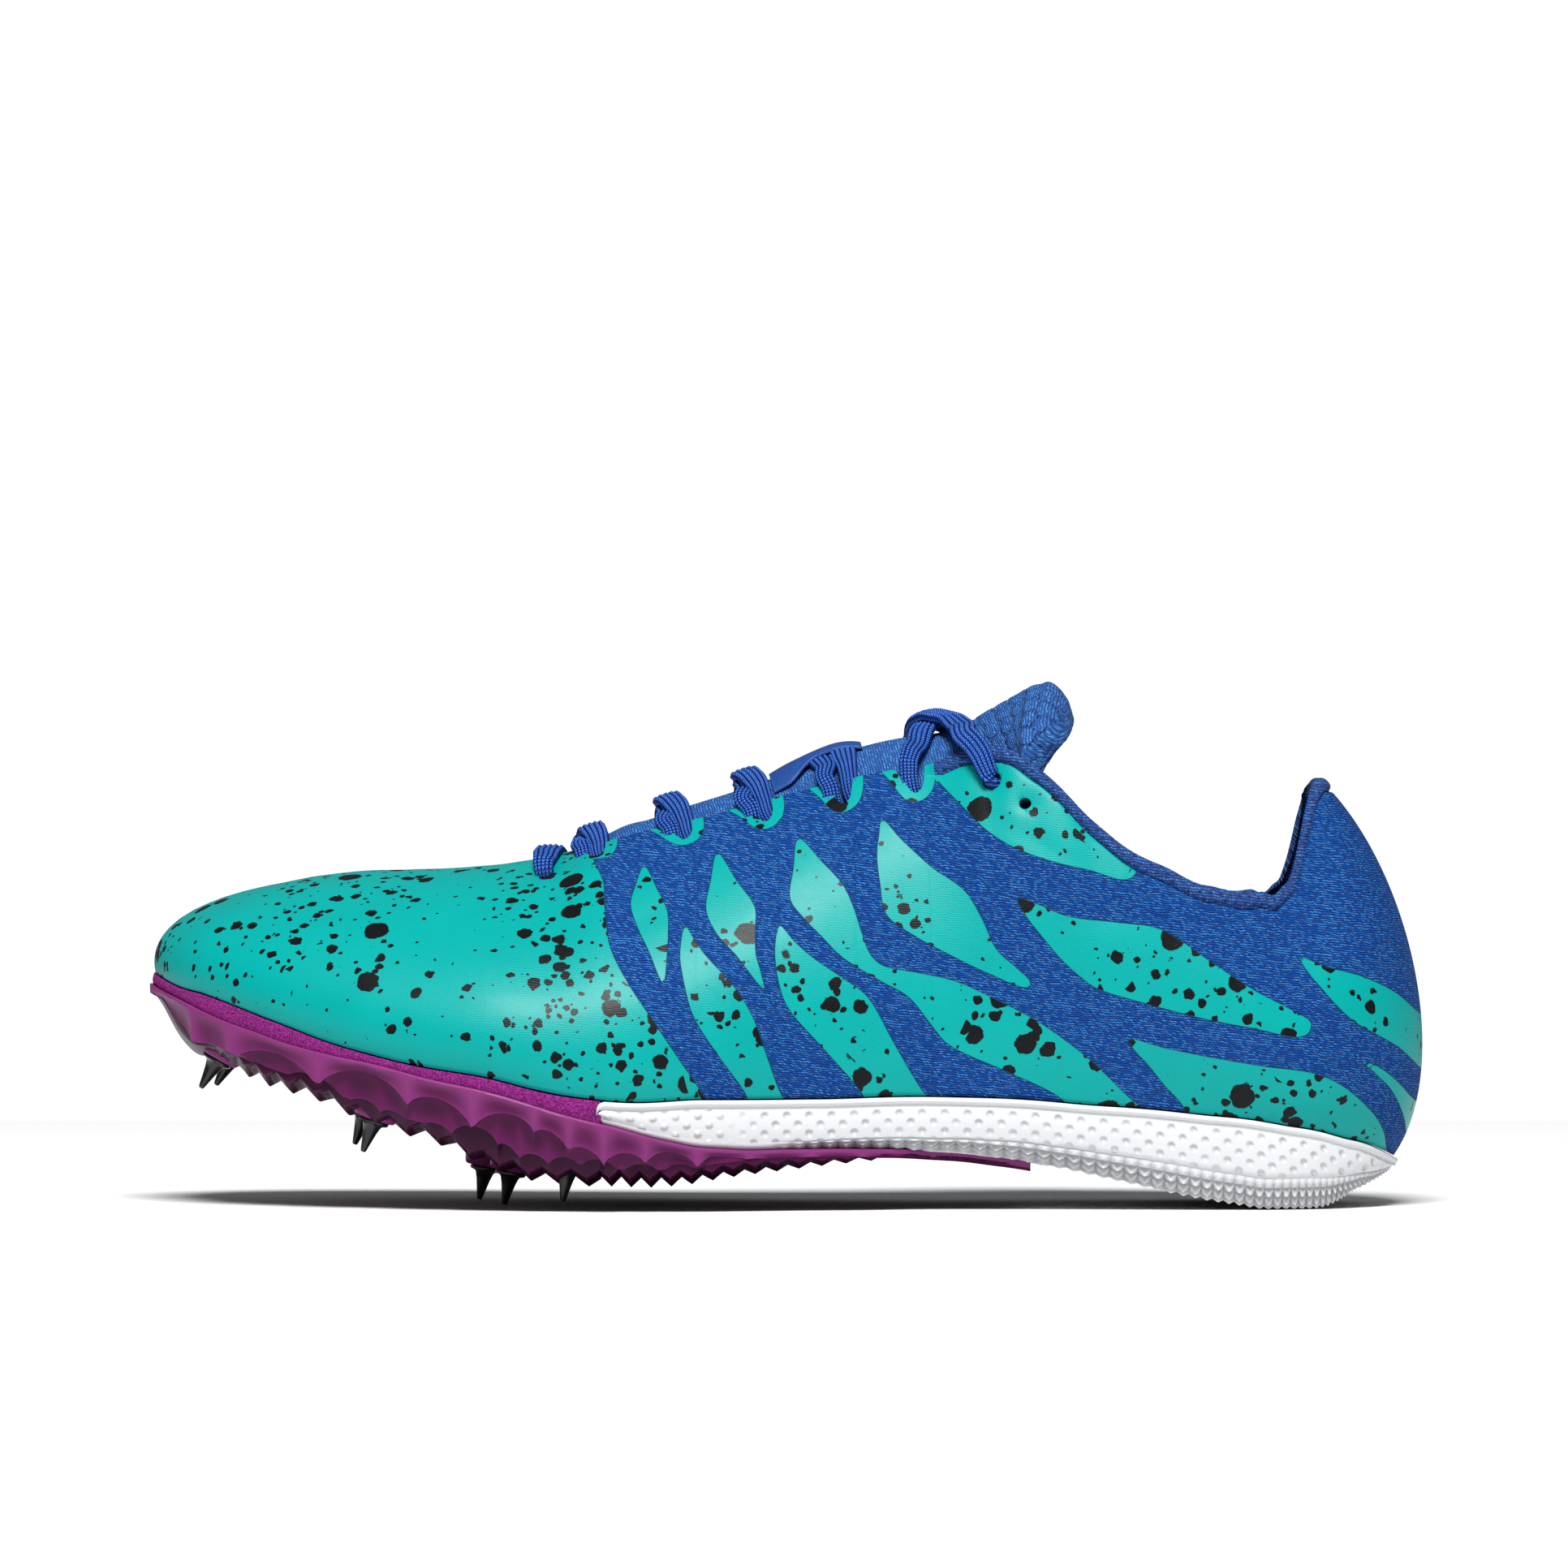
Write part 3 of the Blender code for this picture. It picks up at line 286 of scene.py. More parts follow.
# The film's panels, drawn on the side view in millimetres from the middle of the shoe and up from the floor.
VIEW_DISTANCE = 2.2
VIEW_HEIGHT = 0.092
PANELS = {
    "vamp": [
        (-153.8, 14.9), (-153.8, 94.8), (-49.1, 94.8), (-44.6, 82.4), (-41.6, 75.3), (-39.5, 70.6),
        (-39.3, 66.9), (-38.8, 61.1), (-37.9, 56.1), (-34.0, 48.3), (-29.0, 40.8), (-23.3, 32.3),
        (-18.2, 24.8), (-14.5, 17.6),
    ],
    "leaf 1": [
        (-30.6, 74.2), (-32.6, 69.6), (-33.6, 65.7), (-32.0, 60.5), (-29.7, 55.6), (-26.4, 48.3),
        (-25.6, 54.0), (-25.3, 59.3), (-25.5, 64.3), (-27.8, 69.2),
    ],
    "leaf 2": [
        (-21.6, 61.1), (-22.8, 55.0), (-22.1, 49.5), (-20.0, 41.5), (-14.5, 32.7), (-8.6, 24.5),
        (-5.6, 18.5), (2.4, 18.5), (-0.8, 24.5), (-3.8, 32.7), (-7.0, 41.5), (-10.9, 47.7), (-17.5, 55.0),
        (-19.8, 58.4),
    ],
    "leaf 3": [
        (-14.6, 77.0), (-16.1, 70.8), (-17.1, 64.6), (-15.0, 59.6), (-10.7, 54.7), (-4.3, 47.0),
        (-5.1, 51.1), (-6.1, 54.7), (-6.3, 60.0), (-6.3, 65.0), (-10.4, 71.0),
    ],
    "leaf 4": [
        (-1.0, 61.1), (-1.9, 57.5), (-2.0, 54.1), (-1.2, 48.6), (0.8, 43.1), (8.6, 34.1), (16.4, 25.2),
        (21.0, 18.5), (35.2, 18.5), (30.1, 25.2), (24.1, 35.3), (18.2, 45.6), (13.0, 49.5), (6.3, 54.1),
        (2.4, 57.5),
    ],
    "leaf 5": [
        (3.1, 80.2), (2.0, 73.5), (1.3, 66.9), (4.2, 62.8), (8.4, 58.4), (12.7, 54.1), (20.9, 49.0),
        (27.2, 45.4), (32.4, 39.0), (35.9, 35.0), (47.7, 29.5), (59.4, 24.0), (66.3, 18.5), (82.3, 18.5),
        (76.4, 22.7), (68.1, 30.7), (61.9, 35.7), (55.5, 40.1), (46.4, 44.9), (37.2, 49.0), (27.2, 51.1),
        (21.9, 52.2), (19.1, 54.5), (17.0, 59.6), (15.4, 64.6), (13.0, 69.8), (8.1, 75.3),
    ],
    "leaf 6": [
        (21.4, 84.3), (20.7, 80.6), (20.3, 76.5), (21.0, 69.9), (22.3, 63.5), (28.3, 58.9), (34.7, 55.4),
        (44.1, 50.8), (53.3, 47.4), (54.0, 48.5), (50.9, 51.8), (46.6, 55.7), (43.2, 62.8), (39.5, 68.7),
        (32.4, 73.8), (25.5, 80.1),
    ],
    "throat": [
        (25.5, 105.4), (30.6, 95.8), (34.3, 91.9), (38.4, 87.7), (44.1, 82.0), (50.7, 77.9), (59.2, 74.9),
        (67.0, 73.1), (74.3, 71.0), (76.8, 72.1), (76.9, 78.8), (68.1, 93.0), (48.5, 105.4),
    ],
    "quarter": [
        (51.0, 67.1), (52.5, 63.7), (56.9, 58.0), (61.0, 53.2), (64.9, 49.7), (68.1, 47.4), (79.6, 43.8),
        (91.9, 40.6), (102.7, 38.5), (112.8, 36.6), (114.8, 37.6), (115.3, 39.8), (110.7, 42.8),
        (102.9, 46.9), (93.3, 53.2), (82.3, 60.3), (72.5, 61.8), (61.7, 63.2), (55.6, 65.7),
    ],
    "heel low": [
        (75.2, 36.2), (76.9, 33.4), (79.1, 31.1), (83.3, 25.9), (87.1, 21.7), (90.3, 14.9), (105.3, 11.4),
        (130.2, 7.8), (132.7, 9.9), (131.8, 12.1), (131.4, 15.3), (129.8, 18.8), (126.6, 22.4),
        (121.7, 26.3), (115.6, 28.8), (105.3, 30.2), (95.1, 31.9), (84.0, 34.1),
    ],
    "heel high": [
        (112.8, 54.1), (114.6, 50.8), (117.9, 46.9), (121.3, 43.1), (125.0, 39.8), (130.2, 36.9),
        (134.6, 34.3), (141.6, 28.8), (146.2, 34.4), (137.8, 43.0), (133.7, 46.5), (126.6, 49.9),
        (118.8, 52.0),
    ],
    "heel edge": [
        (124.7, 31.8), (127.2, 30.4), (129.8, 28.2), (132.7, 25.2), (134.6, 21.7), (135.7, 18.5),
        (136.9, 13.5), (143.5, 14.9), (142.6, 19.9), (137.8, 23.1), (134.6, 26.6), (130.7, 29.8),
        (127.5, 31.2),
    ],
}
NOTCH_BORDER = 0.0026
EYELET_RADIUS = 0.0021
FREE_HOLE_RADIUS = 0.0013
# Soft creases and puckers of the worn-in sheet: two ends on the side view, width and depth, in millimetres.
CREASES = (
    (-62, 58, -47, 71, 3.2, 0.30),
    (-72, 62, -60, 70, 3.0, 0.18),
    (-36, 60, -24, 66, 2.6, 0.22),
    (-8, 58, 2, 68, 2.4, 0.16),
    (44, 86, 70, 71, 2.4, 0.22),
    (96, 62, 112, 74, 4.0, 0.30),
    (104, 56, 128, 66, 4.0, 0.25),
    (60, 62, 84, 66, 3.5, 0.20),
)


def side_view(points):
    """Where a point appears on the side view, in millimetres: scaled about the eye by its nearness."""
    near = VIEW_DISTANCE / (VIEW_DISTANCE - np.abs(points[..., 1]))
    x = points[..., 0] * near
    z = VIEW_HEIGHT + (points[..., 2] - VIEW_HEIGHT) * near
    return np.stack([x, z], axis=-1) * 1000


def rounded(outline, steps=5):
    """A closed centripetal Catmull-Rom curve through an outline's points."""
    p = np.array(outline, float)
    before, after, second = np.roll(p, 1, 0), np.roll(p, -1, 0), np.roll(p, -2, 0)
    pairs = ((before, p), (p, after), (after, second))
    a, b, c = (np.linalg.norm(far - near, axis=1)[:, None] ** 0.5 for near, far in pairs)
    start = (p - before) / a - (after - before) / (a + b) + (after - p) / b
    end = (after - p) / b - (second - p) / (b + c) + (second - after) / c
    f = np.arange(steps)[:, None, None] / steps
    curve = (
        (2 * f**3 - 3 * f**2 + 1) * p
        + (f**3 - 2 * f**2 + f) * b * start
        + (3 * f**2 - 2 * f**3) * after
        + (f**3 - f**2) * b * end
    )
    return curve.transpose(1, 0, 2).reshape(-1, 2)


def inside_by(points, outline):
    """Signed distance into a closed outline: to the nearest side, positive inside by the even-odd count."""
    flat = points.reshape(-1, 2)
    nearest = np.full(len(flat), 1e9)
    inside = np.zeros(len(flat), bool)
    for a, b in zip(outline, np.roll(outline, -1, 0)):
        run = b - a
        f = np.clip(((flat - a) @ run) / (run @ run), 0, 1)
        nearest = np.minimum(nearest, np.linalg.norm(flat - a - f[:, None] * run, axis=1))
        crosses = (a[1] > flat[:, 1]) != (b[1] > flat[:, 1])
        rise = np.where(run[1] == 0, 1e-9, run[1])
        inside ^= crosses & (flat[:, 0] < run[0] * (flat[:, 1] - a[1]) / rise + a[0])
    return np.where(inside, nearest, -nearest).reshape(points.shape[:-1])


def crease_depth(seen):
    """Soft troughs: each crease's depth times a bell of the distance to its line."""
    depth = np.zeros(seen.shape[:-1])
    for ax, az, bx, bz, width, deep in CREASES:
        a, run = np.array([ax, az]), np.array([bx - ax, bz - az])
        f = np.clip(((seen - a) @ run) / (run @ run), 0, 1)
        away = np.linalg.norm(seen - a - f[..., None] * run, axis=-1)
        depth += deep / 1000 * np.exp(-((away / width) ** 2)) * np.sin(np.pi * np.clip(f * 0.9 + 0.05, 0, 1))
    return depth


def grid_mesh(name, points, closed_u=False, closed_v=False, maps=None, caps=False):
    """A mesh over a grid of points, with UV maps given as grids of pairs, whose u direction runs first."""
    nu, nv = points.shape[:2]
    u = np.arange(nu if closed_u else nu - 1)
    v = np.arange(nv if closed_v else nv - 1)
    uu, vv = np.meshgrid(u, v, indexing="ij")
    corners = [(uu, vv), (uu + 1, vv), (uu + 1, vv + 1), (uu, vv + 1)]
    quads = np.stack([(a % nu) * nv + b % nv for a, b in corners], axis=-1).reshape(-1, 4)
    mesh = bpy.data.meshes.new(name)
    faces = quads.tolist()
    if caps:
        faces += [list(range(nv - 1, -1, -1)), [(nu - 1) * nv + j for j in range(nv)]]
    mesh.from_pydata(points.reshape(-1, 3).tolist(), [], faces)
    for title, pairs in (maps or {}).items():
        layer = mesh.uv_layers.new(name=title)
        values = pairs.reshape(-1, 2)[quads.reshape(-1)]
        if caps:
            values = np.concatenate([values, np.zeros((2 * nv, 2))])
        layer.data.foreach_set("uv", values.astype(np.float32).ravel())
    mesh.shade_smooth()
    return mesh


def add_piece(name, mesh, materials, replaced=(), merge=None):
    """An object of the shoe at the origin, which rides on its one body and stands for the named solids."""
    if merge:
        work = bmesh.new()
        work.from_mesh(mesh)
        bmesh.ops.remove_doubles(work, verts=work.verts, dist=merge)
        work.to_mesh(mesh)
        work.free()
    piece = bpy.data.objects.new(name, mesh)
    bpy.context.scene.collection.objects.link(piece)
    for material in materials:
        mesh.materials.append(material)
    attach(piece, "root")
    if replaced:
        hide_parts(*replaced)
    return piece


class Paint:
    """Builds one procedural material: each call adds a node and gives back its output."""

    def __init__(self, name, colour=(0.5, 0.5, 0.5), **sockets):
        self.material = bpy.data.materials.new(name)
        self.material.use_nodes = True
        self.nodes = self.material.node_tree.nodes
        self.links = self.material.node_tree.links
        self.shader = self.nodes["Principled BSDF"]
        self.shader.inputs["Base Color"].default_value = (*colour, 1)
        self.material.diffuse_color = (*colour, 1)
        for title, value in sockets.items():
            self.shader.inputs[title.replace("_", " ")].default_value = value

    def put(self, socket, value):
        if isinstance(value, bpy.types.NodeSocket):
            self.links.new(value, socket)
        elif isinstance(value, tuple) and len(value) == 3 and socket.type == "RGBA":
            socket.default_value = (*value, 1)
        else:
            socket.default_value = value

    def set(self, title, value):
        self.put(self.shader.inputs[title], value)

    def node(self, kind, inputs=(), output=0, **settings):
        node = self.nodes.new(kind)
        for title, value in settings.items():
            setattr(node, title, value)
        for key, value in dict(inputs).items():
            self.put(node.inputs[key], value)
        return node.outputs[output]

    def math(self, operation, a, b=0.0, c=0.0):
        return self.node("ShaderNodeMath", {0: a, 1: b, 2: c}, operation=operation)

    def object_place(self):
        return self.node("ShaderNodeTexCoord", output="Object")

    def uv(self, title):
        return self.node("ShaderNodeUVMap", uv_map=title)

    def split(self, vector):
        node = self.nodes.new("ShaderNodeSeparateXYZ")
        self.put(node.inputs[0], vector)
        return node.outputs

    def join(self, x=0.0, y=0.0, z=0.0):
        return self.node("ShaderNodeCombineXYZ", {0: x, 1: y, 2: z})

    def length(self, x, y):
        return self.node("ShaderNodeVectorMath", {0: self.join(x, y)}, output="Value", operation="LENGTH")

    def centred(self, value):
        """Where a value lies within its whole step, from -0.5 to 0.5."""
        return self.math("SUBTRACT", self.math("FRACT", value), 0.5)

    def ramp(self, value, low, high, start=0.0, end=1.0):
        """A smooth step from start to end as the value goes from low to high."""
        inputs = {0: value, 1: low, 2: high, 3: start, 4: end}
        return self.node("ShaderNodeMapRange", inputs, interpolation_type="SMOOTHSTEP")

    def mix(self, factor, a, b):
        node = self.nodes.new("ShaderNodeMix")
        node.data_type = "RGBA"
        self.put(node.inputs[0], factor)
        self.put(node.inputs[6], a)
        self.put(node.inputs[7], b)
        return node.outputs[2]

    def noise(self, vector, scale, detail=2.0, rough=0.5):
        inputs = {"Vector": vector, "Scale": scale, "Detail": detail, "Roughness": rough}
        return self.node("ShaderNodeTexNoise", inputs)

    def bump(self, height, distance, strength=1.0, after=None):
        inputs = {"Height": height, "Distance": distance, "Strength": strength}
        if after is not None:
            inputs["Normal"] = after
        return self.node("ShaderNodeBump", inputs)


def knit_stitches(paint, uv, rib, stitch, slant):
    """Rows of slanted stitches: height and a random brightness for each, from a UV map in metres."""
    x, y, _ = paint.split(uv)
    wave = paint.noise(paint.join(x, y), 420.0, 2.0)
    row = paint.math("ADD", paint.math("DIVIDE", y, rib), paint.math("MULTIPLY", wave, 1.8))
    row_number = paint.math("FLOOR", row)
    in_row = paint.math("FRACT", row)
    shift = paint.node("ShaderNodeTexWhiteNoise", {"W": row_number}, noise_dimensions="1D")
    along = paint.math("DIVIDE", x, stitch)
    along = paint.math("ADD", along, paint.math("MULTIPLY_ADD", in_row, slant, shift))
    stitch_number = paint.math("FLOOR", along)
    in_stitch = paint.math("FRACT", along)
    rib_height = paint.math("SINE", paint.math("MULTIPLY", in_row, math.pi))
    stitch_height = paint.math("SINE", paint.math("MULTIPLY", in_stitch, math.pi))
    height = paint.math("MULTIPLY", rib_height, paint.math("MULTIPLY_ADD", stitch_height, 0.6, 0.4))
    random = paint.node(
        "ShaderNodeTexWhiteNoise", {"Vector": paint.join(stitch_number, row_number)}, noise_dimensions="2D"
    )
    return height, random


def knit_colour(paint, height, random, dark, mid, light):
    """Dark between the stitches, mid on them, and a light glint on the brightest."""
    base = paint.mix(paint.ramp(height, 0.05, 0.65), dark, mid)
    glint = paint.math("MULTIPLY", paint.ramp(random, 0.20, 1.0, 0.0, 0.85), paint.ramp(height, 0.35, 0.95))
    return paint.mix(glint, base, light)


def ink_specks(paint, place, cell, radius, share, seed):
    """Round drops of random size in this share of random cells: above 0 inside a drop, below it outside."""
    moved = paint.node("ShaderNodeVectorMath", {0: place, 1: (seed, seed * 0.7, seed * 0.3)}, operation="ADD")
    cells = paint.nodes.new("ShaderNodeTexVoronoi")
    paint.put(cells.inputs["Vector"], moved)
    cells.inputs["Scale"].default_value = 1 / cell
    tint = paint.split(cells.outputs["Color"])
    chosen = paint.math("LESS_THAN", tint[0], share)
    size = paint.math("MULTIPLY_ADD", tint[1], 0.75, 0.25)
    size = paint.math("MULTIPLY", paint.math("MULTIPLY", size, chosen), radius / cell)
    return paint.math("SUBTRACT", size, cells.outputs["Distance"])


def film_and_knit():
    """Teal film with dark ink drops and a fine painted shadow line along its cut edge, over a blue ribbed
    knit.
    """
    paint = Paint(
        "film_on_knit", (0.02, 0.5, 0.46), Roughness=0.4, Coat_Roughness=0.2, Specular_IOR_Level=0.12
    )
    knit_uv = paint.uv("knit")
    place = paint.object_place()
    inside, _, _ = paint.split(paint.uv("film"))
    inside = paint.math("ADD", inside, paint.math("MULTIPLY_ADD", paint.noise(place, 1400.0), 0.10, -0.05))
    film = paint.ramp(inside, -0.03, 0.03)
    height, random = knit_stitches(paint, knit_uv, 0.00050, 0.00082, 1.0)
    knit = knit_colour(paint, height, random, *KNIT_COLOURS)
    cloud = paint.noise(place, 70.0, 2.0)
    teal = paint.mix(cloud, *FILM_TEALS)
    inputs = {"Vector": place, "Scale": 480.0, "Detail": 3.0}
    ragged = paint.node("ShaderNodeTexNoise", inputs, output="Color")
    ragged = paint.node("ShaderNodeVectorMath", {0: ragged, 1: (0.5, 0.5, 0.5)}, operation="SUBTRACT")
    ragged = paint.node("ShaderNodeVectorMath", {0: ragged, 3: 0.0016}, operation="SCALE")
    drops = paint.node("ShaderNodeVectorMath", {0: place, 1: ragged}, operation="ADD")
    crowd = paint.ramp(paint.noise(place, 38.0, 1.0), 0.40, 0.62, 0.12, 1.0)
    drop = ink_specks(paint, drops, 0.0088, 0.0031, crowd, 0.31)
    for cell, radius, seed in ((0.0052, 0.0018, 0.77), (0.0043, 0.0014, 1.93), (0.0030, 0.0009, 2.61)):
        drop = paint.math("MAXIMUM", drop, ink_specks(paint, drops, cell, radius, crowd, seed))
    drop = paint.math("MAXIMUM", drop, ink_specks(paint, drops, 0.0021, 0.0005, 0.3, 1.43))
    ink = paint.ramp(drop, -0.012, 0.012)
    film_colour = paint.mix(ink, teal, INK)
    # A painted shadow line: the colour is darkened on both sides of the film's edge.
    edge = paint.ramp(paint.math("ABSOLUTE", inside), 0.06, 0.20, 1.0, 0.0)
    colour = paint.mix(film, knit, film_colour)
    colour = paint.mix(paint.math("MULTIPLY", edge, 0.75), colour, (0.004, 0.05, 0.10))
    paint.set("Base Color", colour)
    paint.set("Roughness", paint.math("MULTIPLY_ADD", film, -0.42, 0.80))
    paint.set("Coat Weight", paint.math("MULTIPLY", film, 0.05))
    threads = paint.math("MULTIPLY", height, paint.math("MULTIPLY_ADD", film, -0.88, 1.0))
    step = paint.bump(paint.ramp(inside, -0.15, 0.15), 0.00022)
    paint.set("Normal", paint.bump(threads, 0.00022, after=step))
    return paint.material


def lining_knit():
    """The collar's lining: a denser blue knit with a pin hole in every few stitches."""
    paint = Paint("collar_lining", (0.012, 0.09, 0.42), Roughness=0.85)
    uv = paint.uv("knit")
    height, random = knit_stitches(paint, uv, 0.00062, 0.00075, 0.5)
    colour = knit_colour(paint, height, random, *LINING_COLOURS)
    x, y, _ = paint.split(uv)
    row = paint.math("FLOOR", paint.math("DIVIDE", y, PIN_HOLE_ROW))
    shift = paint.math("MULTIPLY", paint.math("MODULO", row, 2.0), 0.5)
    hole_x = paint.centred(paint.math("MULTIPLY_ADD", x, 1 / PIN_HOLE_PITCH, shift))
    hole_y = paint.centred(paint.math("DIVIDE", y, PIN_HOLE_ROW))
    hole = paint.ramp(paint.length(hole_x, hole_y), 0.10, 0.24, 1.0, 0.0)
    paint.set("Base Color", paint.mix(paint.math("MULTIPLY", hole, 0.8), colour, (0.002, 0.01, 0.06)))
    height = paint.math("SUBTRACT", height, hole)
    paint.set("Normal", paint.bump(height, 0.00025))
    return paint.material


def loop_rows(step):
    """Rows of one side spaced about this far apart along the shoe, with more at each notch's steep sides."""
    fine = np.linspace(0, LAST_ROW, 3001)
    low, high = edge_point(fine), top_point(fine)
    runs = [np.linalg.norm(np.diff(p, axis=0), axis=1) for p in (low, (low + high) / 2, high)]
    run = np.concatenate([[0], np.cumsum(np.mean(runs, axis=0) + 0.4 * runs[0])])
    rows = np.interp(np.linspace(0, run[-1], int(run[-1] / step)), run, fine)
    offsets = np.array([-4.35, -4.25, -3.7, 1.5, 1.8, 2.0, 2.15, 2.28, 2.36, 2.42, 2.6]) / 1000
    extra = np.array([row_at(place + offset / LENGTH) for place in NOTCHES for offset in offsets])
    rows = rows[[np.min(np.abs(extra - row)) > 0.0030 for row in rows]]
    return np.sort(np.concatenate([rows, extra]))


def notch_depth_at(share):
    """How far the top edge is cut down by the notches."""
    depth = np.zeros(np.shape(share))
    for place in NOTCHES:
        x = (share - place) * LENGTH
        depth = np.maximum(depth, np.interp(x, NOTCH_EDGE[:, 0], NOTCH_EDGE[:, 1], left=0, right=0))
    return depth


def notch_border(share, below):
    """Signed distance in millimetres into the film strip round each notch, on the sheet laid flat."""
    inside = np.full(share.shape, -1e3)
    ends = NOTCH_EDGE + np.array([0, 1e-9])
    for place in NOTCHES:
        flat = np.stack([(share - place) * LENGTH, below], axis=-1)
        away = np.full(share.shape, 1e3)
        for a, b in zip(ends[:-1], ends[1:]):
            f = np.clip(((flat - a) @ (b - a)) / ((b - a) @ (b - a)), 0, 1)
            away = np.minimum(away, np.linalg.norm(flat - a - f[..., None] * (b - a), axis=-1))
        inside = np.maximum(inside, NOTCH_BORDER - away)
    return inside * 1000


def eyelet_places():
    """Each punched hole: its place along the shoe, side, distance below the top edge, and radius."""
    holes = []
    for side in (-1, 1):
        holes.append((VAMP_HOLE, side, VAMP_INSET, EYELET_RADIUS))
        holes.append((TOP_HOLE, side, TOP_INSET, EYELET_RADIUS))
        holes.append((FREE_HOLE, side, FREE_INSET, FREE_HOLE_RADIUS))
    return holes


def hole_dimples(points):
    """The film is pressed in round each punched hole: a bell of the distance to the hole."""
    depth = np.zeros(points.shape[:-1])
    for share, side, below, radius in eyelet_places():
        away = np.linalg.norm(points - on_upper(share, side, below), axis=-1)
        depth += 0.0006 * np.exp(-((away / (radius + 0.0013)) ** 2))
    return depth


def cut_eyelets(piece):
    """Round punches through the wall, each a prism along the surface's normal."""
    cutter = bmesh.new()
    for share, side, below, radius in eyelet_places():
        inner, outer = (Vector(on_upper(share, side, below, out)) for out in (-0.006, 0.004))
        turn = (outer - inner).to_track_quat("Z", "Y").to_matrix().to_4x4()
        turn.translation = (inner + outer) / 2
        bmesh.ops.create_cone(
            cutter, cap_ends=True, segments=24, radius1=radius, radius2=radius,
            depth=(outer - inner).length, matrix=turn,
        )
    mesh = bpy.data.meshes.new("punches")
    cutter.to_mesh(mesh)
    cutter.free()
    punches = bpy.data.objects.new("punches", mesh)
    bpy.context.scene.collection.objects.link(punches)
    cut = piece.modifiers.new("eyelets", "BOOLEAN")
    cut.operation = "DIFFERENCE"
    cut.solver = "MANIFOLD"
    cut.object = punches
    result = bpy.data.meshes.new_from_object(piece.evaluated_get(bpy.context.evaluated_depsgraph_get()))
    piece.modifiers.clear()
    piece.data = result
    bpy.data.objects.remove(punches)


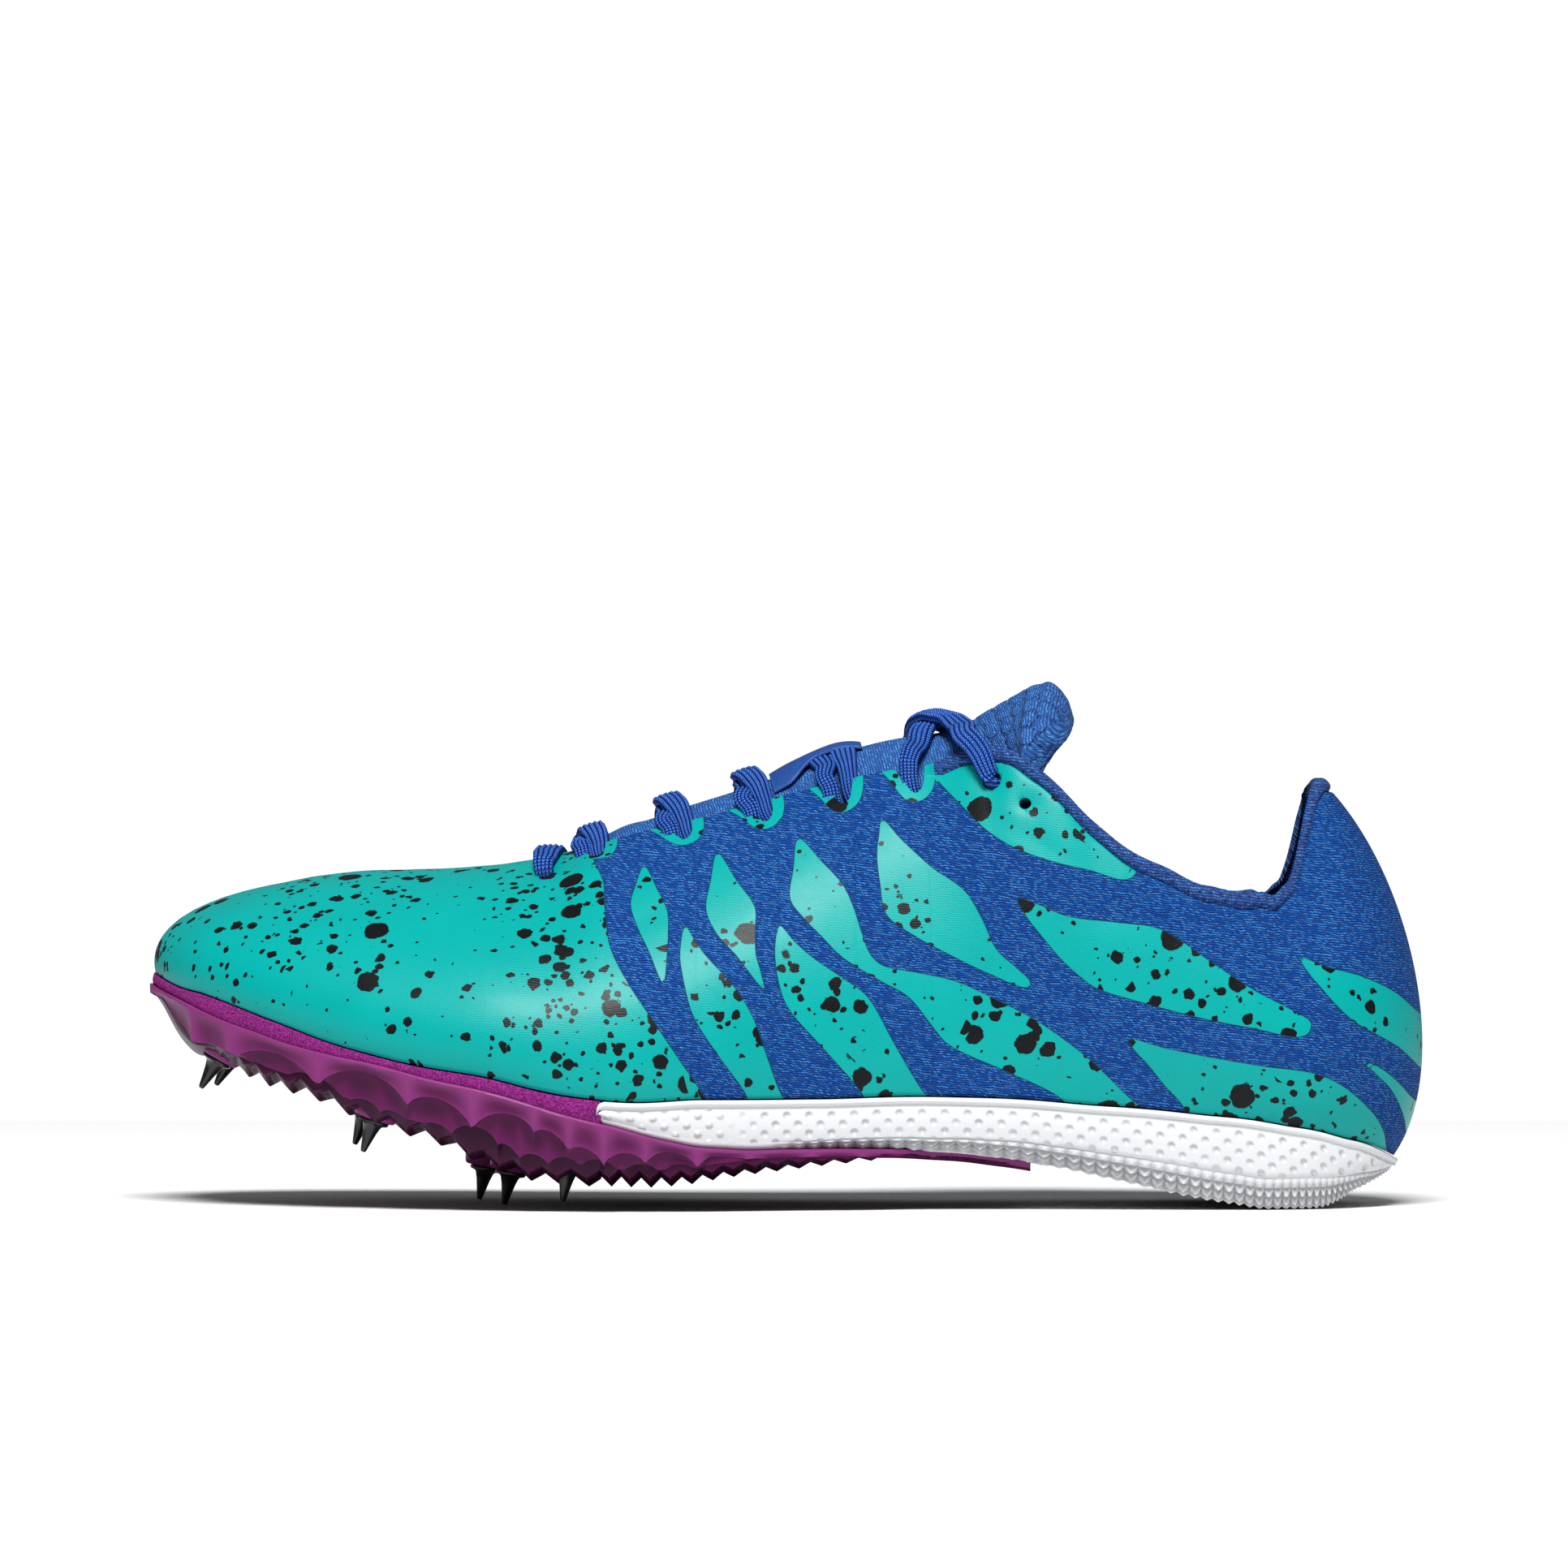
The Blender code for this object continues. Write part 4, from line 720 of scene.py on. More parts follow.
def make_upper():
    """The outside as rows of even levels, moved along its normals, then the inside one wall further in."""
    half = loop_rows(0.00100)
    rows = np.concatenate([half, 2 * LAST_ROW - half[-2:0:-1]])
    shares = share_of(top_point(rows)[:, 0])
    open_top = shares > THROAT_START + 0.0005
    fine_t = np.linspace(0, 1, 161)
    fine = upper_point(np.repeat(rows[:, None], len(fine_t), 1), np.repeat(fine_t[None], len(rows), 0))
    run = np.concatenate(
        [np.zeros((len(rows), 1)), np.cumsum(np.linalg.norm(np.diff(fine, axis=1), axis=2), axis=1)], axis=1
    )
    depth = np.where(open_top, notch_depth_at(shares), 0)
    reach = run[:, -1] - depth
    # Even levels up from the sole, then closer ones below the cut edge.
    near_top = np.array([4.6, 4.2, 3.9, 3.65, 3.45, 3.2, 2.8, 2.3, 1.7, 1.1, 0.6, 0.3, 0.12, 0.0]) / 1000
    even = np.linspace(0, 1, 76)[:-1]
    levels = np.concatenate(
        [even[None] * (reach - near_top[0] - 0.0006)[:, None], reach[:, None] - near_top[None]], axis=1
    )
    t = np.stack([np.interp(levels[i], run[i], fine_t) for i in range(len(rows))])
    row_grid = np.repeat(rows[:, None], t.shape[1], 1)
    outer = upper_point(row_grid, t)
    along = np.roll(outer, -1, 0) - np.roll(outer, 1, 0)
    up = np.gradient(outer, axis=1)
    normal = np.cross(along, up)
    normal /= np.linalg.norm(normal, axis=2)[..., None]
    # Where the vamp is closed, both sides meet on the ridge and share its normal.
    closed = ~open_top
    mirror = (-np.arange(len(rows))) % len(rows)
    ridge = normal[:, -1] + normal[mirror, -1]
    ridge /= np.linalg.norm(ridge, axis=1)[:, None]
    normal[closed, -1] = ridge[closed]
    below = reach[:, None] - levels
    # The collar band swells out above a groove, the cut edge of the rest is rounded over.
    band = np.clip((shares - BAND_START) / 0.008, 0, 1)[:, None]
    roll = BAND_ROLL * np.sqrt(np.clip(1 - ((below - BAND_HEIGHT / 2) / (BAND_HEIGHT / 2)) ** 2, 0, 1))
    groove = 0.0005 * np.exp(-(((below - BAND_HEIGHT - 0.0002) / 0.0004) ** 2))
    over = np.clip(RIM_RADIUS - below, 0, RIM_RADIUS)
    edge_round = RIM_RADIUS - np.sqrt(np.clip(RIM_RADIUS**2 - over**2, 0, None))
    edge_round = np.where(open_top[:, None], edge_round, 0)
    near_throat = np.exp(-(((shares - THROAT_START) / 0.022) ** 2))[:, None] * np.clip(below / 0.004, 0, 1)
    # Rows are drawn towards their neighbours' mean where the throat begins.
    pull = (near_throat * 0.25)[..., None]
    for _ in range(40):
        outer = outer + pull * (np.roll(outer, 1, 0) + np.roll(outer, -1, 0) - 2 * outer)
    seen = side_view(outer)
    creases = crease_depth(seen) * np.clip(below / 0.004, 0, 1) + hole_dimples(outer)
    outer = outer + normal * (band * (roll - groove) - (1 - band) * edge_round - creases)[..., None]
    # The signed distance into the film, for its material.
    film = np.full(t.shape, -1e3)
    for outline in PANELS.values():
        film = np.maximum(film, inside_by(seen, rounded(outline)))
    border = notch_border(np.repeat(shares[:, None], t.shape[1], 1), run[:, -1:] - levels)
    film = np.maximum(film, border)
    film = np.where(band > 0, np.minimum(film, (below - BAND_HEIGHT - 0.0004) * 1000 + (1 - band) * 50), film)
    # The inside follows fewer of the levels, down from the edge.
    inner_steps = np.concatenate([np.arange(t.shape[1] - 1, t.shape[1] - 14, -3), np.arange(60, 0, -6), [0]])
    thick = WALL * (1 + 0.5 * band)
    inner = (outer - normal * thick[..., None])[:, inner_steps]
    points = np.concatenate([outer, inner], axis=1)
    knit_u = np.repeat(run_along(outer[:, KNIT_LEVEL])[:, None], points.shape[1], 1)
    height = outer[..., 2] + 0.10 * outer[..., 0]
    knit_v = np.concatenate([height, height[:, inner_steps]], axis=1)
    film_all = np.concatenate([film, np.full(inner.shape[:2], -50.0)], axis=1)
    maps = {
        "knit": np.stack([knit_u, knit_v], axis=-1),
        "film": np.stack([film_all, np.zeros_like(film_all)], axis=-1),
    }
    mesh = grid_mesh("upper_sheet", points, closed_u=True, closed_v=True, maps=maps)
    levels_count = points.shape[1]
    outer_count = t.shape[1]
    face_level = np.tile(np.arange(levels_count), len(rows))
    face_row = np.repeat(np.arange(len(rows)), levels_count)
    in_band = (band[:, 0] > 0.4)[face_row] & (face_level >= outer_count - 10)
    lining = (face_level >= outer_count) | in_band
    mesh.polygons.foreach_set("material_index", lining.astype(np.int32))
    # The closed vamp needs no rim: its two sides are joined along the ridge.
    rim_faces = (face_level == outer_count - 1) & (closed & np.roll(closed, -1))[face_row]
    piece = add_piece("upper_sheet", mesh, [film_and_knit(), lining_knit()], ["upper"])
    work = bmesh.new()
    work.from_mesh(mesh)
    work.faces.ensure_lookup_table()
    bmesh.ops.delete(work, geom=[work.faces[i] for i in np.flatnonzero(rim_faces)], context="FACES")
    bmesh.ops.remove_doubles(work, verts=work.verts, dist=1e-6)
    work.to_mesh(mesh)
    work.free()
    cut_eyelets(piece)
    return piece


upper = make_upper()

# Tongue
# A padded strip of the same knit under the laces, quilted in a honeycomb on its thick round tip, and sewn in
# under the vamp at its front end.
TONGUE = dict(zip(("along", "height", "thickness", "half_width", "drop", "angle"), np.array([
    (0.300, 0.740, 0.020, 0.130, 0.060, 14.0),
    (0.320, 0.752, 0.026, 0.145, 0.080, 22.0),
    (0.333, 0.766, 0.030, 0.150, 0.095, 28.0),
    (0.348, 0.816, 0.034, 0.160, 0.130, 26.0),
    (0.366, 0.850, 0.036, 0.175, 0.165, 20.0),
    (0.395, 0.878, 0.038, 0.185, 0.190, 18.0),
    (0.428, 0.911, 0.040, 0.195, 0.205, 18.0),
    (0.462, 0.942, 0.042, 0.205, 0.220, 18.0),
    (0.510, 0.992, 0.044, 0.215, 0.250, 18.0),
    (0.564, 1.046, 0.050, 0.225, 0.285, 15.0),
    (0.600, 1.068, 0.060, 0.232, 0.310, 14.0),
    (0.636, 1.090, 0.085, 0.232, 0.290, 22.0),
    (0.660, 1.128, 0.110, 0.228, 0.240, 32.0),
    (0.681, 1.162, 0.122, 0.218, 0.190, 34.0),
    (0.700, 1.188, 0.120, 0.192, 0.140, 32.0),
    (0.712, 1.192, 0.100, 0.150, 0.085, 28.0),
    (0.718, 1.176, 0.062, 0.100, 0.040, 24.0),
]).T))
HEX_PITCH = 0.0048
HEX_DEPTH = 0.00045
TONGUE_COLOURS = ((0.003, 0.030, 0.17), (0.008, 0.095, 0.36), (0.08, 0.32, 0.66))


def tongue_value(name, share):
    """One column of the tongue's table, at a place along the shoe."""
    return smooth(TONGUE["along"], TONGUE[name], share)


def tongue_frame(share):
    """Centre points, lean directions, thicknesses, half widths and drops of the tongue along its run."""
    angle = np.radians(tongue_value("angle", share))
    centre = np.stack([x_of(share), ridge_y(share), tongue_value("height", share) * INSTEP_HEIGHT], axis=-1)
    down = np.stack([np.sin(angle), 0 * angle, -np.cos(angle)], axis=-1)
    thick = tongue_value("thickness", share) * INSTEP_HEIGHT
    half = tongue_value("half_width", share) * BALL_WIDTH
    return centre, down, thick, half, tongue_value("drop", share) * INSTEP_HEIGHT


def honeycomb(x, y, pitch):
    """Distance to the edge of the hexagonal cell that a point lies in, in shares of the pitch."""
    best = np.full(x.shape, 1e9)
    second = np.full(x.shape, 1e9)
    for offset in (0.0, 0.5):
        row = pitch * math.sqrt(3)
        for dx in (0, 1):
            for dy in (0, 1):
                cx = (np.floor(x / row - offset) + dx + offset) * row
                cy = (np.floor(y / pitch - offset) + dy + offset) * pitch
                away = np.hypot(x - cx, y - cy)
                second = np.where(away < best, best, np.minimum(second, away))
                best = np.minimum(best, away)
    return (second - best) / pitch


def tongue_knit():
    """A heathered knit, darker in the honeycomb's grooves on the tip."""
    paint = Paint("tongue_knit", (0.012, 0.11, 0.46), Roughness=0.8)
    height, random = knit_stitches(paint, paint.uv("knit"), 0.00060, 0.00085, 0.9)
    colour = knit_colour(paint, height, random, *TONGUE_COLOURS)
    cell, quilted, _ = paint.split(paint.uv("quilt"))
    groove = paint.math("MULTIPLY", paint.ramp(cell, 0.0, 0.20, 1.0, 0.0), quilted)
    paint.set("Base Color", paint.mix(paint.math("MULTIPLY", groove, 0.45), colour, (0.004, 0.035, 0.18)))
    step = paint.bump(paint.math("SUBTRACT", 1.0, groove), 0.0005)
    paint.set("Normal", paint.bump(height, 0.00018, after=step))
    return paint.material


def make_tongue():
    """Rings across the tongue: an arched top, a padded underside, and edges rounded by the padding."""
    first, last = TONGUE["along"][0], TONGUE["along"][-1]
    tip = last - 0.0060 / LENGTH * (1 - np.cos(np.linspace(math.pi / 2, 0, 14)))
    share = np.concatenate([np.linspace(first, 0.62, 100)[:-1], np.linspace(0.62, tip[0], 84)[:-1], tip])
    centre, down, thick, half, drop = tongue_frame(share)
    back = np.clip((share - 0.645) / 0.05, 0, 1) ** 1.2
    hang = down * np.stack([1 - 1.5 * back, 1 + 0 * back, 1 + 0 * back], axis=-1)
    v = np.sin(np.linspace(-math.pi / 2, math.pi / 2, 75))
    top = centre[:, None] + v[None, :, None] * half[:, None, None] * np.array([0, 1, 0])
    top = top + (v**2)[None, :, None] * (drop[:, None] * hang)[:, None]
    depth = thick[:, None] * (0.35 + 0.65 * np.sqrt(np.clip(1 - v**4, 0, 1)))[None]
    low = top + depth[..., None] * down[:, None]
    middle = (top + low) / 2
    squeeze = np.sqrt(np.clip(1 - np.abs(v) ** 9, 0, 1))[None, :, None]
    end = round_off((last - share) * LENGTH, 0.0060)[:, None, None]
    top = middle + (top - middle) * squeeze * end
    low = middle + (low - middle) * squeeze * end
    run = run_along(centre)
    ring = np.concatenate([top, low[:, -2:0:-1]], axis=1)
    steps = np.linalg.norm(np.roll(ring, -1, 1) - ring, axis=2)
    aside = np.cumsum(steps, axis=1) - steps
    crest = len(v) // 2
    past_half = np.arange(ring.shape[1]) > len(v) + crest - 1
    aside = aside - aside[:, crest:crest + 1] - np.where(past_half, steps.sum(axis=1)[:, None], 0)
    along = np.repeat(run[:, None], ring.shape[1], 1)
    cell = honeycomb(along, aside, HEX_PITCH)
    quilt = np.clip((share - 0.640) / 0.012, 0, 1) * np.clip((last - share) / 0.006, 0, 1)
    groove = HEX_DEPTH * np.exp(-((cell / 0.16) ** 2)) * quilt[:, None]
    inward = ring.mean(axis=1, keepdims=True) - ring
    inward /= np.maximum(np.linalg.norm(inward, axis=2), 1e-5)[..., None]
    ring = ring + groove[..., None] * inward
    knit = np.stack([aside, along], axis=-1)
    quilt_map = np.stack([cell, np.broadcast_to(quilt[:, None], cell.shape)], axis=-1)
    maps = {"knit": knit, "quilt": quilt_map}
    mesh = grid_mesh("tongue_pad", ring, closed_v=True, maps=maps, caps=True)
    return add_piece("tongue_pad", mesh, [tongue_knit()], ["tongue"], merge=1e-6)


tongue = make_tongue()

# Laces
# One flat woven lace of five ribs: a bar over the vamp, then at each pair of notches two strands that cross
# on the tongue, and the last pair runs down into the top eyelets. Its ends stop inside, at those eyelets.
LACE_WIDTH = 0.0060
LACE_THICKNESS = 0.0020
LACE_RIBS = 5
LACE_RIB_DEPTH = 0.00022
YARN_PITCH = 0.00070
# How far each crossing's middle bows back from its notches.
LACE_BOWS = (-0.0022, -0.0042, -0.0046, -0.0046)


def through(points, count):
    """A smooth curve through points at even distances: a Catmull-Rom curve by chord length."""
    points = np.array(points)
    chord = np.concatenate([[0], np.cumsum(np.linalg.norm(np.diff(points, axis=0), axis=1) ** 0.7)])
    fine = np.linspace(0, chord[-1], 400)
    curve = np.stack([smooth(chord, points[:, k], fine) for k in range(3)], axis=1)
    run = run_along(curve)
    even = np.linspace(0, run[-1], count)
    return np.stack([np.interp(even, run, curve[:, k]) for k in range(3)], axis=1), even


def squared(wave, power):
    """A sine or cosine to a power with its sign kept, which squares a circle off into a flat oval."""
    return np.sign(wave) * np.abs(wave) ** power


def lace_tube(points, ups, pinches, count=88, sides=60):
    """A flat oval carried along a curve, pinched narrower at holes and edges, with raised lengthwise ribs."""
    line, run = through(points, count)
    width = np.interp(np.linspace(0, 1, count), np.linspace(0, 1, len(pinches)), pinches)[:, None, None]
    tangent = np.gradient(line, axis=0)
    tangent /= np.linalg.norm(tangent, axis=1)[:, None]
    keys = np.linspace(0, 1, len(ups))
    up = np.stack([np.interp(np.linspace(0, 1, count), keys, np.array(ups)[:, k]) for k in range(3)], axis=1)
    flat = np.cross(up, tangent)
    flat /= np.linalg.norm(flat, axis=1)[:, None]
    up = np.cross(tangent, flat)
    turn = np.linspace(0, 2 * math.pi, sides, endpoint=False)
    wide = squared(np.cos(turn), 0.75)
    high = squared(np.sin(turn), 0.75)
    rib = -LACE_RIB_DEPTH * np.cos(wide * math.pi * LACE_RIBS) * np.sign(high) * (np.abs(high) > 0.2)
    ring = flat[:, None] * (wide * LACE_WIDTH / 2)[None, :, None] * width
    ring = ring + up[:, None] * (high * LACE_THICKNESS / 2 - rib)[None, :, None] * (1.25 - 0.25 * width)
    uv = np.stack(np.meshgrid(run, wide, indexing="ij"), axis=-1)
    return (line[:, None] + ring)[:, ::-1], uv[:, ::-1]


def lace_braid():
    """Woven yarns in a chevron: stripes that slant one way on each rib and the other way on the next."""
    paint = Paint("lace_braid", (0.02, 0.09, 0.52), Roughness=0.62, Specular_IOR_Level=0.2)
    along, across, _ = paint.split(paint.uv("braid"))
    rib = paint.math("MULTIPLY", across, LACE_RIBS / 2)
    saw = paint.math("PINGPONG", paint.math("ADD", rib, 20.5), 0.5)
    slant = paint.math("MULTIPLY", saw, 1.6)
    yarn = paint.math("FRACT", paint.math("MULTIPLY_ADD", along, 1 / YARN_PITCH, slant))
    height = paint.math("SINE", paint.math("MULTIPLY", yarn, math.pi))
    valley = paint.ramp(saw, 0.0, 0.19)
    colour = paint.mix(paint.ramp(height, 0.0, 0.7), (0.006, 0.038, 0.26), (0.011, 0.075, 0.42))
    colour = paint.mix(valley, (0.002, 0.013, 0.13), colour)
    height = paint.math("MULTIPLY_ADD", valley, 1.4, paint.math("MULTIPLY", height, valley))
    glint = paint.math("MULTIPLY", paint.ramp(height, 2.0, 2.4), paint.noise(paint.object_place(), 1500.0))
    paint.set("Base Color", paint.mix(glint, colour, (0.12, 0.33, 0.85)))
    paint.set("Normal", paint.bump(height, 0.00022))
    return paint.material


def tongue_surface(x, y):
    """A point on top of the tongue's arch at this x and y."""
    centre, down, _, half, drop = tongue_frame(np.array(share_of(x)))
    v = (y - centre[1]) / half
    return centre + np.array([0, y - centre[1], 0]) + v * v * drop * down


def crossing_paths(place, bow, flat):
    """Both strands of a crossing, from notch to notch over the tongue: stacked, or side by side if flat."""
    x = x_of(place)
    ridge = float(ridge_y(np.array(place)))
    opening = float(opening_half(np.array(place)))
    peak = 0.0018 + bow
    paths = []
    for side in (-1, 1):
        layer = LACE_THICKNESS * (0.1 if flat else 0.5 if side < 0 else 1.35)
        shift = (0.0024 * side + 0.0006) if flat else 0.0
        start = place - 0.0026 / LENGTH
        end = place + (0.0016 if flat else 0.0007) / LENGTH
        points = [
            on_upper(start + 0.0012 / LENGTH, side, 0.0130, -WALL - 0.0024),
            on_upper(start + 0.0006 / LENGTH, side, 0.0085, -WALL - 0.0012),
            on_upper(start, side, 0.0050, -WALL * 0.8),
            on_upper(start, side, 0.0018, 0.0001),
            on_upper(start, side, -0.0012, 0.0006) + np.array([peak * 0.2, 0, 0]),
        ]
        for share, weight in ((0.5, 0.55), (0.0, 1.0), (-0.5, 0.55)):
            other = -0.0026 if share > 0 else 0.0010
            y = ridge + side * share * opening
            spot = tongue_surface(x + (peak + shift) * weight + other * (1 - weight), y)
            points.append(spot + np.array([-0.3, 0, 0.95]) * (layer + 0.0004))
        points += [
            on_upper(end, -side, -0.0010, -WALL * 0.4) + np.array([0, 0, 0.0004]),
            on_upper(end, -side, 0.0030, -WALL * 0.9),
            on_upper(end + 0.0008 / LENGTH, -side, 0.0062, -WALL - 0.0016),
            on_upper(end + 0.0012 / LENGTH, -side, 0.0110, -WALL - 0.0026),
        ]
        out = np.array([0, side, 0.0])
        up = np.array([-0.3, 0, 0.95])
        ups = [out, out, out, out + up * 0.2, out * 0.8 + up * 0.7, up + out * 0.3, up, up - out * 0.3,
               up * 0.6 - out, -out, -out, -out]
        paths.append((points, ups, [0.66, 0.66, 0.62, 0.66, 0.78, 0.95, 1.0, 0.92, 0.72, 0.62, 0.62, 0.62]))
    return paths


def top_paths():
    """The last pair: out of the fifth notches, high over the tongue, and down into the top eyelets."""
    place = NOTCHES[-1]
    paths = []
    for side in (-1, 1):
        layer = LACE_THICKNESS * (0.6 if side < 0 else 1.55)
        notch = place - 0.0010 / LENGTH
        x_start, x_end = x_of(place), x_of(TOP_HOLE)
        points = [
            on_upper(notch + 0.0012 / LENGTH, side, 0.0130, -WALL - 0.0022),
            on_upper(notch + 0.0006 / LENGTH, side, 0.0085, -WALL - 0.0010),
            on_upper(notch, side, 0.0048, -WALL * 0.7),
            on_upper(notch, side, 0.0012, 0.0004),
            on_upper(notch, side, -0.0020, 0.0010) + np.array([0.0006, 0, 0.0004]),
        ]
        for f, lift, ahead in ((0.26, 0.9, 0.02), (0.44, 1.0, 0.20), (0.56, 1.0, 0.38), (0.74, 1.0, 0.58)):
            x = x_start + (x_end - x_start) * ahead
            y = side * (1 - 2 * f) * 0.0165
            base = tongue_surface(x, y)
            points.append(base + np.array([-0.2, 0, 1.0]) * (layer * lift + 0.0008))
        points += [
            on_upper(TOP_HOLE - 0.014, -side, -0.0014, 0.0034),
            on_upper(TOP_HOLE - 0.007, -side, 0.0018, 0.0026),
            on_upper(TOP_HOLE - 0.002, -side, TOP_INSET - 0.0022, 0.0014),
            on_upper(TOP_HOLE, -side, TOP_INSET + 0.0002, -0.0002),
            on_upper(TOP_HOLE, -side, TOP_INSET + 0.0003, -0.0040),
        ]
        out = np.array([0, side, 0.0])
        up = np.array([-0.2, 0, 0.97])
        ups = [out, out, out, out, out + up * 0.5, up + out * 0.4, up, up, up - out * 0.5, up * 0.7 - out,
               up * 0.3 - out, up * 0.3 - out, up - out * 0.6, up]
        pinches = [0.66, 0.66, 0.64, 0.72, 0.85, 1.0, 1.0, 1.0, 1.0, 0.95, 0.92, 0.88, 0.74, 0.62]
        paths.append((points, ups, pinches))
    return paths


def bar_path():
    """The bar over the vamp, between the two first eyelets."""
    inset = VAMP_INSET
    points = []
    ups = []
    for side in (-1, 1):
        half = [
            (on_upper(VAMP_HOLE, side, inset + 0.0004, -0.0044), (-0.3, side, 0.0)),
            (on_upper(VAMP_HOLE, side, inset, -0.0010), (-0.1, side, -0.3)),
            (on_upper(VAMP_HOLE, side, inset - 0.0010, 0.0008), (0, side, 0.3)),
            (on_upper(VAMP_HOLE + 0.001, side, inset * 0.62, 0.0016), (0, side * 0.6, 1.0)),
            (on_upper(VAMP_HOLE + 0.002, side, inset * 0.25, 0.0016), (0, side * 0.2, 1.0)),
        ]
        half = half if side < 0 else half[::-1]
        points += [point for point, _ in half]
        ups += [np.array(up) for _, up in half]
    return [(points, ups, [0.62, 0.66, 0.85, 1.0, 1.0, 1.0, 1.0, 0.85, 0.66, 0.62])]


def join_meshes(name, parts, turn_outward=False):
    """One mesh of several, whose faces can all be turned outward."""
    work = bmesh.new()
    for part in parts:
        work.from_mesh(part)
        bpy.data.meshes.remove(part)
    if turn_outward:
        bmesh.ops.recalc_face_normals(work, faces=work.faces)
    mesh = bpy.data.meshes.new(name)
    work.to_mesh(mesh)
    work.free()
    mesh.shade_smooth()
    return mesh


def make_laces():
    """Every strand as a closed tube with its braid's UV map, joined into one piece."""
    strands = bar_path()
    for place, bow in zip(NOTCHES[:-1], LACE_BOWS):
        strands += crossing_paths(place, bow, flat=place == NOTCHES[3])
    strands += top_paths()
    tubes = [lace_tube(*strand) for strand in strands]
    mesh = join_meshes("laces", [
        grid_mesh("strand", points, closed_v=True, maps={"braid": uv}, caps=True) for points, uv in tubes
    ])
    nodes = ["lace_bar", *(f"lace_crossing_{i}" for i in range(1, 6))]
    return add_piece("laces", mesh, [lace_braid()], nodes)


laces = make_laces()

# Lace keeper
# A smooth woven strap, sewn down on the tongue at both ends, which the fourth crossing runs under.
KEEPER_ALONG = 0.5250
KEEPER_LENGTH = 0.020
KEEPER_WIDTH = 0.016
KEEPER_THICKNESS = 0.0008
KEEPER_LIFT = 0.0014


def make_keeper():
    """An arch over the tongue: the lift falls off with the fourth power of the place along the strap."""
    paint = Paint("keeper_strap", (0.02, 0.13, 0.55), Roughness=0.45)
    place = paint.object_place()
    edge = paint.ramp(paint.noise(place, 2200.0), 0.3, 0.7)
    paint.set("Base Color", paint.mix(edge, (0.005, 0.045, 0.22), (0.009, 0.070, 0.30)))
    paint.set("Normal", paint.bump(paint.noise(place, 2600.0, 1.0), 0.00008))
    u = np.linspace(-1, 1, 60)
    share = KEEPER_ALONG + u * KEEPER_LENGTH / 2 / LENGTH
    centre, down, _, half, drop = tongue_frame(share)
    turn = np.linspace(0, 2 * math.pi, 48, endpoint=False)
    v = squared(np.cos(turn), 0.25)
    thick = squared(np.sin(turn), 0.25) * 0.5 + 0.5
    narrow = np.clip((u + 0.7) / 0.8, 0, 1)
    narrow = 1 - 0.5 * narrow * narrow * (3 - 2 * narrow)
    y = v[None] * KEEPER_WIDTH / 2 * narrow[:, None]
    high = np.where(u < 0.3, (u - 0.3) / 1.3, (u - 0.3) / 0.7)
    rise = GAP + KEEPER_LIFT * (1 - np.abs(high) ** 2.2)
    fall = (y / half[:, None]) ** 2 * drop[:, None] - rise[:, None] - thick[None] * KEEPER_THICKNESS
    points = centre[:, None] + y[..., None] * np.array([0, 1, 0]) + fall[..., None] * down[:, None]
    mesh = grid_mesh("keeper_strap", points[:, ::-1], closed_v=True, caps=True)
    return add_piece("keeper_strap", mesh, [paint.material], ["lace_keeper"])


keeper = make_keeper()

# Insole
# A thin dished footbed with a cloth top, laid loose inside the upper.
FOOTBED_DISH = 0.003
INSOLE_THICKNESS = 0.003


def spread(row):
    """The way that a sole layer grows: outward at toe and heel, and straight across along the sides."""
    way = outward(row)
    way[..., 0] *= np.clip((0.90 - np.abs(way[..., 1])) / 0.25, 0, 1)
    return way


def across(rows, grow, v):
    """A grid of points from the outer edge, v = -1, to the inner, v = 1, with the edge moved out by grow."""
    rows, v = np.broadcast_arrays(np.asarray(rows, float), np.asarray(v, float))
    grow = np.broadcast_to(np.asarray(grow, float), rows.shape)[..., None]
    outer = edge_point(rows) + spread(rows) * grow
    inner = edge_point(2 * LAST_ROW - rows) + spread(2 * LAST_ROW - rows) * grow
    points = outer * (1 - v[..., None]) / 2 + inner * (1 + v[..., None]) / 2
    points[..., 2] = edge_height(share_of(points[..., 0]))
    return points


def dish(points, v):
    """How far the footbed hangs below the upper's edge, flattening out at toe and heel."""
    share = share_of(points[..., 0])
    deep = FOOTBED_DISH * np.clip(np.minimum((share - 0.006) / 0.12, (0.976 - share) / 0.10), 0, 1)
    return deep * (1 - np.clip(np.abs(v), 0, 1) ** 2)


def rows_between(low, high, count):
    """Evenly spaced rows of the outer side between two places along the shoe."""
    rows = np.linspace(0.12, LAST_ROW, 3001)
    ends = np.interp([low, high], same("along", rows), rows)
    return np.linspace(ends[0], ends[1], count)


def make_insole():
    """Flat rounded rings across the footbed, hung in its dish."""
    paint = Paint("insole_cloth", (0.02, 0.04, 0.15), Roughness=0.9)
    place = paint.object_place()
    weave = paint.noise(place, 1800.0, 2.0)
    paint.set("Base Color", paint.mix(weave, (0.008, 0.02, 0.09), (0.02, 0.06, 0.24)))
    paint.set("Normal", paint.bump(weave, 0.0003))
    turn = np.linspace(0, 2 * math.pi, 64, endpoint=False)
    v = squared(np.cos(turn), 0.35)
    lift = squared(np.sin(turn), 0.35) * 0.5 + 0.5
    rows = rows_between(0.02, 0.965, 160)[:, None]
    points = across(rows, -(WALL + 3 * GAP), v[None])
    points[..., 2] += GAP + lift[None] * INSOLE_THICKNESS - dish(points, v[None])
    mesh = grid_mesh("insole_bed", points[:, ::-1], closed_v=True, caps=True)
    return add_piece("insole_bed", mesh, [paint.material], ["insole"])


insole = make_insole()

